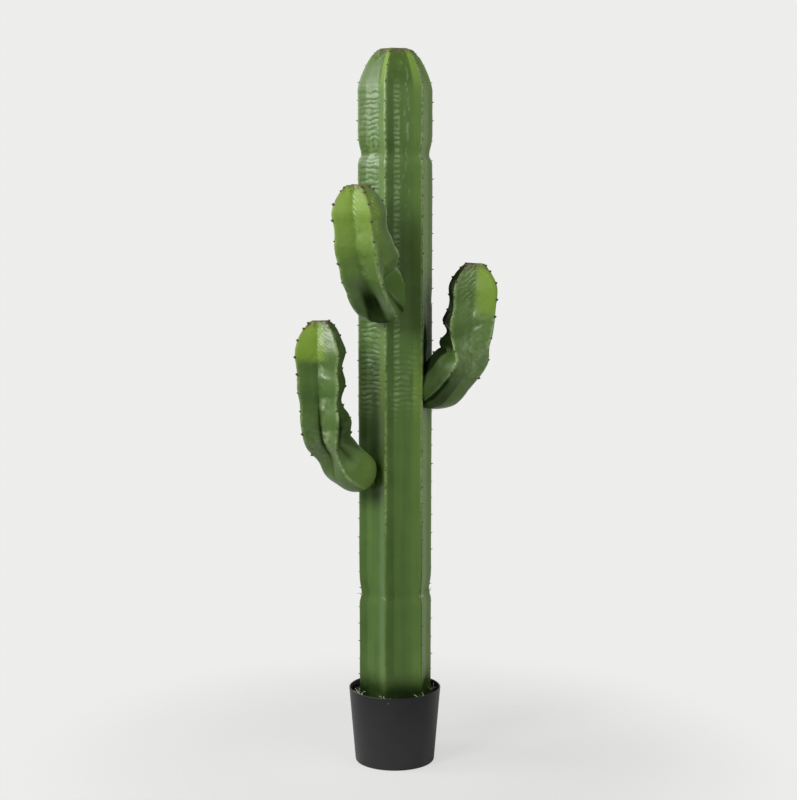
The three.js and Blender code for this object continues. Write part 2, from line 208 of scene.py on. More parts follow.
class ArmSizes(bpy.types.PropertyGroup):
    """Where one arm leaves the column, how it bends, and how its ribs run."""
    azimuth: angle("Azimuth", -45, "Side of the column that the arm leaves, turned from the front")
    start: length("Start", 58, "Distance of the foot's start from the pot's axis")
    height: length("Height", 500, "Level of the foot's start")
    heading: angle("Heading", -55, "Side that the arm heads for, turned from the front")
    foot: length("Foot", 50, "Straight length before the bend")
    slope: angle("Slope", 34, "Climb of the foot above the horizon")
    bend: length("Bend", 120, "Radius of the bend")
    upright: length("Upright", 150, "Straight length after the bend")
    lean: angle("Lean", 2, "Lean of the upright away from the column")
    side: angle("Side", 0, "Lean of the arm to one side")
    head_crest: length("Head crest", 50, "Radius of the crests below the tip")
    waist_crest: length("Waist crest", 45, "Radius of the crests in the bend")
    foot_crest: length("Foot crest", 45, "Radius of the crests at the foot")
    roll: angle("Roll", 0, "Turn of the ribs about the arm")
    twist: angle("Twist", 0, "Further turn of the ribs towards the foot")
    twist_place: length("Twist place", 100, "Distance of that turn's middle from the foot's start")
    twist_length: length("Twist length", 45, "Length of the stretch with that turn")
    wave: share("Wave", 0.06, "Height of the crests' waves, as a share of the crest")
    wave_start: length("Wave start", 100, "Distance from the foot's start where the waves begin")
    wave_length: length("Wave length", 56, "Length of a wave")
    first_wave: length("First wave", 45, "Distance of the first wave from the tip")
    pinch: share("Pinch", 0.05, "Depth of the dent on the outside of the bend, as a share of the crest")
    pinch_place: length("Pinch place", 90, "Distance of that dent from the foot's start")
    pinch_length: length("Pinch length", 12, "Half the length of that dent")
    bulge: share("Bulge", 0.15, "Height of the bulge inside the bend, as a share of the crest")
    bulge_place: length("Bulge place", 120, "Distance of that bulge from the foot's start")
    bulge_length: length("Bulge length", 14, "Half the length of that bulge")
    crease: share("Crease", 0.1, "Depth of the sharp crease inside the bend, as a share of the crest")
    crease_place: length("Crease place", 100, "Distance of that crease from the foot's start")
    crease_length: length("Crease length", 7, "Half the width of that crease")
    crevice: length("Crevice", 0, "Depth of the narrow crevice along the grooves in the bend")
    crevice_place: length("Crevice place", 140, "Distance of that crevice's middle from the foot's start")
    crevice_length: length("Crevice length", 50, "Half the length of that crevice")
    # The crevice's dark paint is a painted shade.
    crevice_shade: share("Crevice shade", 0, "How dark the paint is in that crevice")
    ribs: share("Ribs", 4, "Number of ribs")
    groove: share("Groove", 0.52, "Radius between two ribs, as a share of the crest")
    groove_at_foot: share("Groove at the foot", 0.66, "The same near the foot")
    groove_place: length("Groove place", 100, "Distance of the groove's change from the foot's start")
    change_length: length("Change length", 50, "Length over which the grooves change and the waves begin")
    roundness: share("Roundness", 0.975, "Sharpness of crests and grooves, 1 being sharp")
    belly: share("Belly", 0.03, "Swell of the flanks between crest and groove")
    dome: length("Dome", 54, "Height of the domed tip")
    dome_top: share("Dome top", 0.38, "Radius where the dome ends, as a share of the crest")
    dome_power: share("Dome power", 2.4, "How late the dome turns in")
    cap: length("Cap", 19, "Length of the skin from the dome's end to the middle of the tip")
    dip: length("Dip", 4, "Depth of the hollow in the middle of the tip")
    heel: length("Heel", 34, "Length of the rounded heel")
    heel_end: share("Heel end", 0.35, "Radius of the heel's end, as a share of the crest")
    heel_power: share("Heel power", 3, "How late the heel turns in")
    heel_round: length("Heel round", 66, "Length over which the ribs fade into the round heel")
    heel_share: share("Heel share", 0.9, "Radius of the round heel, as a share of the crest")
    plug: length("Plug", 22, "Length of the arm inside the column")
    outer_wave: share("Outer wave", 0.3, "Share of the waves on the outside of the bend")
    inner_wave: share("Inner wave", 0.7, "Further share of the waves on the inside of the bend")
    fold_gain: share("Fold gain", 1.6, "Growth of the inner waves in the middle of the bend")
    fold_spread: share("Fold spread", 0.45, "Length of that growth, as a share of the bend")
    chevron: length("Chevron", 0.9, "Height of the slanting ripples below the tip")
    chevron_spacing: length("Chevron spacing", 6.5, "Distance between two slanting ripples")
    chevron_width: length("Chevron width", 14, "Width of the slanting ripples, on one side of each groove")
    chevron_reach: length("Chevron reach", 110, "Length of the stretch with slanting ripples")
    chevron_side: share("Chevron side", -1, "Side of the grooves with slanting ripples, 1 left and -1 right")
    wrinkle: length("Wrinkle", 1.5, "Height of the wrinkles across the flanks")
    wrinkle_spacing: length("Wrinkle spacing", 25, "Distance between two wrinkles")
    spray: length("Spray", 64, "Length of the yellow-green spray below the tip")
    spray_fade: length("Spray fade", 14, "Length over which the spray fades out")
    spray_side: share("Spray side", 0.5, "How far the spray reaches round from the outside to the inside")
    # Painted shade: the dark paint of these five darkens the skin where shade falls.
    inner_shade: share("Inner shade", 0, "How dark the paint is on the inside of the bend")
    facet_shade: share("Facet shade", 0, "How dark the paint is on the upper facets of the foot")
    flank_shade: share("Flank shade", 0, "How dark the paint is on the left side of the grooves")
    heel_shade: share("Heel shade", 0, "How dark the paint is in the grooves near the heel")
    ridge_shade: share("Ridge shade", 0, "How dark the paint is under the lower ridges of the foot")
    rim_knob: length("Rim knob", 9, "Height of the knobs on the tip's rim")
    lump: length("Lump", 2.2, "Height of the slow unevenness of the skin")
    lump_size: length("Lump size", 30, "Size of that unevenness")
    # Painted light: the spray on the round heel lightens it where it turns away from the lamps.
    heel_spray: share("Heel spray", 0, "Strength of the yellow-green spray on the round heel")
    # On the arms these pale scuffs are a painted glint in the hollows between the waves.
    scuff: share("Scuff", 0.4, "Strength of the pale scuffs in the hollows between the waves")
    # Painted light: the pale dusting on the outside of the bend stands in for light falling there.
    dust: share("Dust", 0, "Strength of the pale dusting on the outside of the bend")
    dust_place: length("Dust place", 120, "Distance of that dusting from the foot's start")
    dust_length: length("Dust length", 40, "Half the length of that dusting")
    scar: length("Scar", 17, "Length of the brown scar on the tip's edge")


class ThornSizes(bpy.types.PropertyGroup):
    """Sizes of the thorns and of the beads they stand on."""
    bead: length("Bead", 2.0, "Radius of the bead under a thorn")
    spike: length("Spike", 3.0, "Length of a thorn")
    spike_width: length("Spike width", 0.9, "Radius of a thorn's foot")
    first: length("First", 4, "Distance of the first thorn from the end of a crest")
    spacing: length("Spacing", 30, "Distance between two thorns")
    crowding: share("Crowding", 0.35, "How much closer the thorns stand near the tip")
    spread: length("Spread", 0, "How much further apart each next thorn stands")
    jitter: length("Jitter", 2, "Random shift of a thorn along its rib")
    smallest: share("Smallest", 0.6, "Size of the smallest thorns, as a share")
    rise: angle("Rise", 20, "Turn of a thorn towards the tip")


class MossSizes(bpy.types.PropertyGroup):
    """Sizes of the dried moss in one ring round the column."""
    level: length("Level", FILLER_HIGH.z / MM, "Level of the ring")
    inner: length("Inner", 64, "Radius where the moss starts")
    outer: length("Outer", 69, "Radius where the moss ends")
    tufts: IntProperty(name="Tufts", description="Number of tufts, one below each rib", default=6)
    first_tuft: angle("First tuft", -75, "Side of the first tuft, turned from the front")
    tuft_turn: angle("Tuft turn", 60, "Turn from one tuft to the next")
    tuft_spread: angle("Tuft spread", 4, "Half the width of a tuft, seen from the pot's axis")
    strands: IntProperty(name="Strands", description="Number of strands in a tuft", default=14)
    strand: length("Strand", 12, "Height of a strand")
    thickness: length("Thickness", 0.45, "Radius of a strand")


class PotSizes(bpy.types.PropertyGroup):
    """Sizes of the pot."""
    height: length("Height", POT_HIGH.z / MM, "Height of the rim")
    rim_radius: length("Rim radius", POT_HIGH.x / MM, "Outer radius of the rim")
    foot_radius: length("Foot radius", 69.8, "Outer radius of the foot")
    wall: length("Wall", 2.4, "Thickness of the wall")
    floor: length("Floor", 3.5, "Thickness of the floor")
    foot_round: length("Foot round", 3.0, "Radius of the round at the foot")
    rim_round: length("Rim round", 0.9, "Radius of the rounds on the rim")
    sides: IntProperty(name="Sides", description="Number of sides of the pot's round wall", default=192)


class CactusColours(bpy.types.PropertyGroup):
    """Colours of the paints and plastics, and of the painted shade and highlights."""
    skin: colour("Skin", "#516C34", "Green of the skin")
    # Painted shade: the deep green grows towards the grooves, mottled and streaked.
    skin_deep: colour("Deep skin", "#3F5827", "Darker green between the ribs")
    # The pale crests are lighter paint with a painted highlight along them.
    skin_pale: colour("Pale skin", "#8CA26C", "Paler green along the crests")
    # Painted shade: this dark green is laid on where the skin should look shaded.
    skin_shade: colour("Shaded skin", "#1B2712", "Dark green inside the bends and near the pot")
    spray: colour("Spray", "#6E8A2E", "Yellow-green spray on the tips")
    # Painted highlight: this pale green marks the tops of the ripples and slanting ripples, the arms' glints
    # and painted light, and the column's scuffs.
    brush: colour("Brush", "#96A97C", "Pale green brushed over the ripples")
    scar: colour("Scar", "#5B5038", "Brown of the scars on the tips")
    thorn: colour("Thorn", "#524D3A", "Grey-brown of thorns and beads")
    pot: colour("Pot", "#19191A", "Black of the pot")
    cement: colour("Cement", "#4A453C", "Grey-brown of the filler")
    moss: colour("Moss", "#C9CDA4", "Pale straw green of the dried moss")
    floor: colour("Floor", "#EDEDEB", "White of the studio floor")


class CactusSettings(bpy.types.PropertyGroup):
    """All sizes and colours of the plant."""
    column: PointerProperty(type=ColumnSizes, name="Column", description="Sizes of the column")
    arms: CollectionProperty(type=ArmSizes, name="Arms", description="Sizes of each arm")
    column_thorns: PointerProperty(type=ThornSizes, name="Column thorns", description="Thorns on the column")
    arm_thorns: PointerProperty(type=ThornSizes, name="Arm thorns", description="Thorns on the arms")
    pot: PointerProperty(type=PotSizes, name="Pot", description="Sizes of the pot")
    moss: PointerProperty(
        type=MossSizes, name="Moss", description="Sizes of the dried moss at the column's foot")
    waist_moss: PointerProperty(
        type=MossSizes, name="Waist moss", description="Sizes of the few strands at the lower waist")
    colours: PointerProperty(type=CactusColours, name="Colours", description="Paints and plastics")


# Nodes

class Field:
    """An output of a node, so that sums of outputs read as formulas."""

    def __init__(self, tree, socket):
        self.tree = tree
        self.socket = socket

    def output(self, name):
        """Another output of the same node."""
        return Field(self.tree, self.socket.node.outputs[name])

    def math(self, operation, *others):
        return add_node(self.tree, "ShaderNodeMath", dict(enumerate((self, *others))), operation=operation)

    def __add__(self, other):
        return self.math("ADD", other)

    def __sub__(self, other):
        return self.math("SUBTRACT", other)

    def __mul__(self, other):
        return self.math("MULTIPLY", other)

    def __truediv__(self, other):
        return self.math("DIVIDE", other)

    def __pow__(self, other):
        return self.math("POWER", other)

    def __rsub__(self, other):
        return self * -1 + other

    def __rtruediv__(self, other):
        return self ** -1.0 * other

    __radd__ = __add__
    __rmul__ = __mul__


def add_node(tree, kind, inputs=None, **settings):
    """The first output of a new node. Each input takes a value, a field or a list of fields."""
    node = tree.nodes.new(kind)
    for name, value in settings.items():
        setattr(node, name, value)
    for key, value in (inputs or {}).items():
        for source in value if isinstance(value, list) else [value]:
            if isinstance(source, Field):
                tree.links.new(source.socket, node.inputs[key])
            else:
                node.inputs[key].default_value = source
    return next((Field(tree, socket) for socket in node.outputs if socket.enabled), None)


def sine(field):
    return field.math("SINE")


def cosine(field):
    return field.math("COSINE")


def bell(field):
    """1 where the field is 0, falling smoothly to 0 on both sides."""
    return (field * field * -1).math("EXPONENT")


def clamp01(field):
    return field.math("MAXIMUM", 0.0).math("MINIMUM", 1.0)


def smooth(field):
    """A smooth step from 0 to 1 as the field goes from 0 to 1."""
    x = clamp01(field)
    return x * x * (3 - x * 2)


def ramp(field, start, span):
    """A smooth step from 0 to 1 that begins at the start and takes the span."""
    return smooth((field - start) / span)


def step(field, middle, span):
    """The same, with the middle of the step given."""
    return smooth((field - middle) / span + 0.5)


def patches(grain, mean, contrast):
    """Soft patches from 0 to 1, made from a noise that varies about 0."""
    return clamp01(mean + grain * contrast)


def mixed(start, end, factor):
    return start + (end - start) * factor


def size_names(group):
    """Names of the plain numbers in a property group."""
    return [p.identifier for p in group.bl_rna.properties if p.type in {"FLOAT", "INT"} and not p.is_array]


def sized_tree(name, *groups):
    """A geometry tree with an input for each size in the groups, and those inputs as fields."""
    tree = bpy.data.node_groups.new(name, "GeometryNodeTree")
    tree.interface.new_socket("Geometry", in_out="OUTPUT", socket_type="NodeSocketGeometry")
    names = [key for group in groups for key in size_names(group)]
    for key in names:
        tree.interface.new_socket(key, in_out="INPUT", socket_type="NodeSocketFloat")
    entry = add_node(tree, "NodeGroupInput")
    return tree, SimpleNamespace(**{key: entry.output(key) for key in names})


def close_tree(tree, geometry, material):
    """Ends a tree: instances made real, and the material set."""
    real = add_node(tree, "GeometryNodeRealizeInstances", {"Geometry": geometry})
    painted = add_node(tree, "GeometryNodeSetMaterial", {"Geometry": real, "Material": material})
    add_node(tree, "NodeGroupOutput", {"Geometry": painted})


def grow(name, tree, *groups):
    """What the tree makes from the groups' sizes, as a plain mesh object."""
    piece = bpy.data.objects.new(name, bpy.data.meshes.new(name))
    bpy.context.scene.collection.objects.link(piece)
    modifier = piece.modifiers.new(name, "NODES")
    modifier.node_group = tree
    values = {key: getattr(group, key) for group in groups for key in size_names(group)}
    for socket in tree.interface.items_tree:
        if socket.in_out == "INPUT":
            modifier[socket.identifier] = float(values[socket.name])
    grown = piece.evaluated_get(bpy.context.evaluated_depsgraph_get())
    mesh = bpy.data.meshes.new_from_object(grown)
    piece.modifiers.remove(modifier)
    piece.data = mesh
    if not mesh.polygons:
        raise RuntimeError(f"{name} has no faces")
    return piece


# Rules of the limbs

# Shape of the column's top, the last two as shares of the way from its edge to its middle.
CROWN_SPAN = 6  # height of the rounded edge, in drops of that edge
CROWN_END = 0.25  # where the rounded edge ends
DIP_START = 3 / 13  # where the hollow starts


def half_rib(ribs):
    """Angle from a crest to the groove beside it."""
    return math.pi / ribs


def crest_angle(turn, ribs, roundness):
    """Angle from the nearest crest, rounded off on crests and in grooves."""
    wave = (cosine(turn * ribs) * roundness).math("ARCSINE") / roundness.math("ARCSINE")
    return (1 - wave) / 2 * half_rib(ribs)


def star_share(off, ribs, groove):
    """Share of the crest's radius on the straight flank from a crest to a groove."""
    half = half_rib(ribs)
    return sine(half) / (sine(half - off) + sine(off) / groove)


def dome_share(away, reach, end, power):
    """Share of the full radius near a rounded end, away being the distance from that end."""
    return 1 - (1 - end) * clamp01(1 - away / reach) ** power


def column_section(size, turn, level):
    """Radius and height of the column's bare skin, and the distance from the nearest crest."""
    over = clamp01((level - size.top) / size.cap)
    edge = size.crown * CROWN_SPAN
    rounding = ramp(level, size.top - edge, edge) * (1 - ramp(over, 0, CROWN_END))
    hollow = size.dip * ramp(over, DIP_START, 1 - DIP_START)
    height = level.math("MINIMUM", size.top) - size.crown * rounding - hollow
    climbed = clamp01((level - POT_HIGH.z) / (size.full_crest - POT_HIGH.z))
    crest = mixed(size.crest_at_pot, size.crest_above, climbed)
    for waist in ("upper", "middle", "lower"):
        away = level - getattr(size, f"{waist}_waist")
        below = bell(away.math("MINIMUM", 0.0) / size.waist_length)
        above = bell(away.math("MAXIMUM", 0.0) / size.waist_rise)
        crest = crest - getattr(size, f"{waist}_waist_depth") * below * above
    dome = dome_share(size.top - level, size.dome, size.dome_top, size.dome_power)
    off = crest_angle(turn, size.ribs, size.roundness)
    flank = cosine(size.flank) / cosine(size.flank - off)
    face = size.groove / cosine(half_rib(size.ribs) - off)
    around = flank.math("SMOOTH_MAX", face, size.fillet)
    return crest * dome * (1 - over) * around, height, off * crest


def column_place(tree, size, turn, radius, height):
    """Place of the column's skin at a turn, a radius and a height."""
    azimuth = size.rib_azimuth + turn
    x = size.offset + radius * sine(azimuth)
    y = radius * cosine(azimuth) * -1
    return add_node(tree, "ShaderNodeCombineXYZ", {"X": x, "Y": y, "Z": height})


def arm_sweep(size):
    """Angle that an arm's bend turns through."""
    return math.pi / 2 - size.lean - size.slope


def arm_total(size):
    """Length of an arm's path from the foot's start to the tip."""
    return size.foot + size.bend * arm_sweep(size) + size.upright


def arm_path(size, s, sunk):
    """Centre of an arm at a length along its path, and the directions out of its bend and across it."""
    sweep = arm_sweep(size)
    tilt = size.slope + ((s - size.foot) / size.bend).math("MAXIMUM", 0.0).math("MINIMUM", sweep)
    before = s.math("MINIMUM", size.foot)
    after = (s - size.foot - size.bend * sweep).math("MAXIMUM", 0.0) - sunk
    reach = before * cosine(size.slope) + size.bend * (sine(tilt) - sine(size.slope)) + after * cosine(tilt)
    climb = before * sine(size.slope) + size.bend * (cosine(size.slope) - cosine(tilt)) + after * sine(tilt)
    out = (sine(size.heading), cosine(size.heading) * -1)
    across = (cosine(size.heading), sine(size.heading), 0.0)
    sideways = sine(size.side) * climb.math("MAXIMUM", 0.0)
    centre = (
        sine(size.azimuth) * size.start + out[0] * reach + across[0] * sideways,
        cosine(size.azimuth) * size.start * -1 + out[1] * reach + across[1] * sideways,
        size.height + climb,
    )
    outer = (out[0] * sine(tilt), out[1] * sine(tilt), cosine(tilt) * -1)
    return centre, outer, across


def arm_crest(size, s, middle, total):
    """Radius of an arm's crests, drawn in at the tip and at the heel."""
    crest = mixed(size.foot_crest, size.waist_crest, ramp(s, 0, middle))
    crest = crest + (size.head_crest - size.waist_crest) * ramp(s, middle, total - size.dome - middle)
    crest = crest * dome_share(total - s, size.dome, size.dome_top, size.dome_power)
    return crest * dome_share(s, size.heel, size.heel_end, size.heel_power)


def arm_section(size, turn, along):
    """Centre, axes and radius of an arm's bare skin at a turn and a length along its path."""
    arc = size.bend * arm_sweep(size)
    middle = size.foot + arc / 2
    total = arm_total(size)
    s = along.math("MINIMUM", total)
    over = clamp01((along - total) / size.cap)
    centre, outer, across = arm_path(size, s, size.dip * smooth(over))
    crest = arm_crest(size, s, middle, total) * (1 - over)
    roll = turn + size.roll + size.twist * (1 - step(s, size.twist_place, size.twist_length))
    inner = (1 - cosine(roll)) / 2
    off = crest_angle(turn, size.ribs, size.roundness)
    groove = mixed(size.groove_at_foot, size.groove, step(s, size.groove_place, size.change_length))
    ribbed = star_share(off, size.ribs, groove) + size.belly * sine(off * size.ribs)
    below = total - s
    wave = cosine((below - size.first_wave) * TURN / size.wave_length)
    waving = step(s, size.wave_start, size.change_length) * clamp01(below / size.dome)
    fold = bell((s - middle) / (size.fold_spread * arc))
    gain = size.outer_wave + size.inner_wave * inner * (1 + size.fold_gain * fold)
    pinch = bell((s - size.pinch_place) / size.pinch_length)
    bulge = bell((s - size.bulge_place) / size.bulge_length)
    crease = ((s - size.crease_place).math("ABSOLUTE") / size.crease_length * -1).math("EXPONENT")
    around = mixed(size.heel_share, ribbed, ramp(s, 0, size.heel_round)) + wave * size.wave * waving * gain
    around = around - size.pinch * (1 - inner) * pinch
    around = around + size.bulge * bulge * inner * inner - size.crease * crease * inner
    return SimpleNamespace(
        centre=centre, outer=outer, across=across, roll=roll, radius=crest * around,
        off=off, crest=crest, below=below, inner=inner, wave=wave)


def arm_direction(section):
    """The three parts of the direction from the arm's centre line to the skin."""
    forward = cosine(section.roll)
    sideward = sine(section.roll)
    return [a * forward + b * sideward for a, b in zip(section.outer, section.across)]


def arm_place(tree, section, radius):
    """Place of the arm's skin at a radius from its centre line."""
    parts = (c + d * radius for c, d in zip(section.centre, arm_direction(section)))
    return add_node(tree, "ShaderNodeCombineXYZ", dict(zip("XYZ", parts)))


# Skins

# Points round a limb, rows along it, and the share of the column's rows on its plain lower skin.
COLUMN_POINTS = 168
COLUMN_ROWS = 590
PLAIN_ROWS = 0.11
ARM_POINTS = 160
ARM_ROWS = 300

# Radius below which the relief fades out towards the middle of a top.
COLUMN_POLE = 20 * MM
ARM_POLE = 12 * MM

# Widths of the noises that make the skins uneven.
COLUMN_GRAINS = {"ripple": 24 * MM, "patch": 20 * MM, "knob": 10 * MM, "cloud": 160 * MM}
ARM_GRAINS = {
    "chevron": 13 * MM, "speckle": 12 * MM, "wrinkle": 28 * MM, "patch": 34 * MM, "knob": 9 * MM,
    "spray": 15 * MM, "scuff": 18 * MM}

# Edges of the places on the skins.
SIDE_EDGE = 1 / 3  # softness between the two sides of a rib
EARLY = 0.3  # share of an edge that lies before its place
SCAR_EARLY = 0.9  # the same for the scars
KNOB_REACH = 14 * MM  # distance from a rim over which its knobs fade

# The column's ripples.
RIPPLE_FADE = 60 * MM  # height over which they begin
DOME_FADE = 40 * MM  # height over which they end below the dome
RIPPLE_EDGE = 4 * MM  # softness of their ends
RIPPLE_WANDER = 1.7  # how far they wander, in spacings
RIPPLE_POWER = 0.7  # how flat their tops are
RIPPLE_MEAN = 0.6  # their height where the skin stays as it is
RIPPLE_TOP = 0.35  # height from there to where they carry the painted highlight in full
BROAD_EDGE = 2 / 3  # softness between the faces with many ripples and those with few
BROAD_REACH = 0.8  # how far the many ripples reach over the flank beside them
FACE_EDGE = 3 * MM  # softness between a flank and a face
BELT_RIPPLE = 0.6  # strength of the ripples in the belt
BELT_GAP = 0.5  # how much weaker they are where a face has its own
BELT_START = 3 * MM  # distance from a crest where the belt starts
BELT_EDGE = 6 * MM  # softness of that start
CALM_BELOW = 0.4  # share of the calm below the scuffed skin
CALM_FADE = 100 * MM  # height over which the calm grows
PLAIN_CRINKLE = 0.3  # strength of the crinkles beside the ripples
RIPPLED_CRINKLE = 0.8  # their strength on the ripples

# The column's paint, painted shade and painted light.
RIB_REACH = 34 * MM  # distance from a crest to the middle of a face
PLAIN_FADE = 200 * MM  # height over which the plain crests end
POT_SHADE = 45 * MM  # height of the painted shade above the pot
SIDE_WIDTH = math.radians(22)  # half the width of the painted light on the right side
DARK_WIDTH = math.radians(30)  # half the width of an arm's painted shadow
FRONT = (0.5, 0.45)  # start and span of the front, as the cosine of the turn from it
TOP_SPRAY = 0.2  # strength of the spray near the top
FLANK_SPRAY = 0.4  # strength of the spray on the left flanks
FACE_HIGHLIGHT = 0.5  # strength of the painted highlight on the ripples away from the ribs
SCUFF_FADE = 60 * MM  # height over which the scuffs begin
SCUFF_STRETCH = 5  # length of a scuff, in widths
SCUFF_CUT = (0.1, 0.06)  # start and span of the scuffs in their noise

# The arms' ripples, wrinkles and crevices.
CHEVRON_SLOPE = 0.6  # how steeply the ripples slant
CHEVRON_WANDER = 11 * MM  # how far they wander
CHEVRON_HIGHLIGHT = 2.5  # strength of the painted highlight on them
WRINKLE_WANDER = 1.6  # how far the wrinkles wander, in spacings
WRINKLE_WIDTH = 28 * MM  # half the width of the wrinkles
WRINKLE_CUT = (-0.4 / 3, 1 / 3)  # start and span of the wrinkles in their noise
CREVICE_WIDTH = 3.5 * MM  # half the width of a crevice
CREASE_FADE = 24 * MM  # length over which the skin above the crease begins

# The arms' paint and painted shade. Each pair is a start and a span, from 0 on the outside of a bend to 1 on
# its inside.
INSIDE = (0.5, 0.25)
DEEP_INSIDE = (0.82, 0.08)
UPPER_FACET = (0.22, 0.12)
LOWER_RIDGE_END = (0.3, 0.2)
OUTSIDE_END = (0.3, 0.15)
GROOVED = (0.2, 0.4)  # start and span of a groove, from 0 on a crest to 1 in the groove
SPRAY_WANDER = 14 * MM  # how far the spray's edge wanders
SPRAY_SIDE_SPAN = 0.25  # softness of the spray's side
HEEL_LIGHT_FADE = 40 * MM  # length over which the heel's painted light ends
GLINT_PLACE = 12 * MM  # distance of the painted glints from a groove
GLINT_WIDTH = 14 * MM  # half the width of the painted glints
WAVE_HOLLOW = 2 / 3  # span of the hollow between two waves
LOW_FOOT = 25 * MM  # how far the foot's painted shade goes past its straight length
HEEL_REACH = 15 * MM  # the same for the painted shade in the grooves
FOOT_FADE = 50 * MM  # length over which both end
SEAM = 8 * MM  # length of the dark seam where the arm meets the column
CREST_SCAR = 0.7  # strength of the scars on the crests
CREST_SCAR_WIDTH = 2.5 * MM  # half their width
CREST_SCAR_REACH = 60 * MM  # their length below the tip


def unrolled(tree, points, rows):
    """A flat sheet to be rolled up into a limb, with its turn and its share of the length as fields."""
    sheet = add_node(tree, "GeometryNodeMeshGrid", {
        "Size X": 1.0, "Size Y": 1.0, "Vertices X": points + 1, "Vertices Y": rows + 1})
    place = add_node(tree, "ShaderNodeSeparateXYZ", {0: add_node(tree, "GeometryNodeInputPosition")})
    return sheet, (place + 0.5) * TURN, place.output("Y") + 0.5


def rolled_up(tree, sheet, place, marks):
    """The sheet moved to its place, closed along its seam, with its marks kept as attributes."""
    for name, field in marks.items():
        sheet = add_node(tree, "GeometryNodeStoreNamedAttribute", {
            "Geometry": sheet, "Name": name, "Value": field}, data_type="FLOAT", domain="POINT")
    moved = add_node(tree, "GeometryNodeSetPosition", {"Geometry": sheet, "Position": place})
    closed = add_node(tree, "GeometryNodeMergeByDistance", {"Geometry": moved, "Distance": WELD})
    return add_node(tree, "GeometryNodeSetShadeSmooth", {"Geometry": closed})


def column_grains(tree, size, turn, level):
    """The noises of the column's skin, each from about -0.5 to 0.5."""
    x = size.crest_above * sine(turn)
    y = size.crest_above * cosine(turn)
    place = add_node(tree, "ShaderNodeCombineXYZ", {"X": x, "Y": y, "Z": level})
    drawn = add_node(tree, "ShaderNodeCombineXYZ", {"X": x, "Y": y, "Z": level / SCUFF_STRETCH})
    widths = dict(COLUMN_GRAINS, crinkle=size.crinkle_size, lump=size.lump_size, scuff=size.scuff_size)
    return SimpleNamespace(**{
        name: add_node(tree, "ShaderNodeTexNoise", {
            "Vector": drawn if name == "scuff" else place, "Scale": 1 / width}) - 0.5
        for name, width in widths.items()})


def column_zones(size, turn, level, away, grain):
    """Where the column's skin is rippled and painted, with its painted highlights, painted light and painted
    shade, each from 0 to 1.
    """
    rightward = step(sine(turn * size.ribs), 0, SIDE_EDGE)
    broad_face = step(cosine((turn + half_rib(size.ribs)) * size.ribs / 2), 0, BROAD_EDGE)
    face_start = size.flank_width * (1 - BROAD_REACH * rightward * broad_face)
    on_face = ramp(away, face_start - EARLY * FACE_EDGE, FACE_EDGE)
    beside_rib = 1 - ramp(away, size.flank_width + size.ripple_width, RIPPLE_EDGE)
    right_side = bell((turn + size.rib_azimuth - size.right_dark_azimuth) / SIDE_WIDTH)
    belt = bell((level - size.ripple_belt) / size.ripple_belt_width)
    ladder = on_face * (beside_rib * rightward).math("MAXIMUM", broad_face)
    lines = belt * BELT_RIPPLE * ramp(away, BELT_START, BELT_EDGE) * (1 - beside_rib * rightward * BELT_GAP)
    rippled = ladder.math("MAXIMUM", lines) * (1 - right_side)
    below_dome = ramp(size.top - level, size.ripple_end, DOME_FADE)
    upper = ramp(level, size.ripple_start, RIPPLE_FADE) * below_dome
    higher = ramp(level, size.scuff_start, CALM_FADE)
    calm = 1 - size.broad_calm * broad_face * mixed(CALM_BELOW, 1, higher)
    ripples = rippled * upper * calm * patches(grain.patch, mean=0.65, contrast=2.6)
    return SimpleNamespace(
        rightward=rightward, on_face=on_face, beside_rib=beside_rib, right_side=right_side, belt=belt,
        rippled=rippled, below_dome=below_dome, upper=upper, ripples=ripples,
        flank=1 - step(away, size.flank_width, FACE_EDGE))


def column_relief(size, level, cells, zone, grain):
    """Height of the column's ripples, crinkles and knobs above its bare skin."""
    ripple = size.ripple * (cells - RIPPLE_MEAN) * zone.ripples
    crinkle = size.crinkle * grain.crinkle * zone.upper * mixed(PLAIN_CRINKLE, RIPPLED_CRINKLE, zone.rippled)
    knobs = size.rim_knob * grain.knob * bell((level - size.top) / KNOB_REACH)
    return ripple + crinkle + size.lump * grain.lump + knobs


def column_marks(size, turn, level, away, cells, zone, grain):
    """What the material needs to know: distance from a crest, painted highlights and scuffs, spray with
    painted light, painted shade and scars.
    """
    near_top = 1 - ramp(size.top - level, 0, size.spray)
    front = ramp(cosine(turn), *FRONT)
    cloud = patches(grain.cloud, mean=0.2, contrast=2)
    cloud = cloud.math("MAXIMUM", zone.belt).math("MAXIMUM", near_top)
    flank_spray = cloud * zone.flank * (1 - zone.rightward) * FLANK_SPRAY * (1 + front)
    # Painted shade near the pot, on the right flanks and on the dome's faces.
    low = 1 - ramp(level, POT_HIGH.z, POT_SHADE)
    shade = low.math("MAXIMUM", zone.flank * zone.rightward * size.flank_dark)
    shade = shade + size.dome_dark * (1 - zone.below_dome) * (1 - zone.flank)
    # Painted shadows of the three arms on the column.
    for arm in ("left", "right", "front"):
        place, height, azimuth, strength = (
            getattr(size, f"{arm}_dark{end}") for end in ("", "_height", "_azimuth", "_strength"))
        beside = bell((turn + size.rib_azimuth - azimuth) / DARK_WIDTH)
        shade = shade + strength * beside * bell((level - place) / height)
    scuffed_and_glinting = ramp(level, size.scuff_start, SCUFF_FADE) * zone.on_face * size.scuff
    scuffs = ramp(grain.scuff, *SCUFF_CUT) * scuffed_and_glinting
    # Painted highlight on the tops of the ripples.
    highlighted = zone.ripples * ramp(cells, RIPPLE_MEAN, RIPPLE_TOP) * mixed(FACE_HIGHLIGHT, 1, zone.beside_rib)
    return {
        "rib": away / RIB_REACH + size.plain_crest * (1 - ramp(level, size.lower_waist, PLAIN_FADE)),
        "brush": highlighted.math("MAXIMUM", scuffs),
        # The right side's share is painted light.
        "spray": near_top * TOP_SPRAY + flank_spray + zone.right_side * size.side_spray,
        "shade": shade,
        "scar": ramp(level, size.top - SCAR_EARLY * size.scar, size.scar),
    }


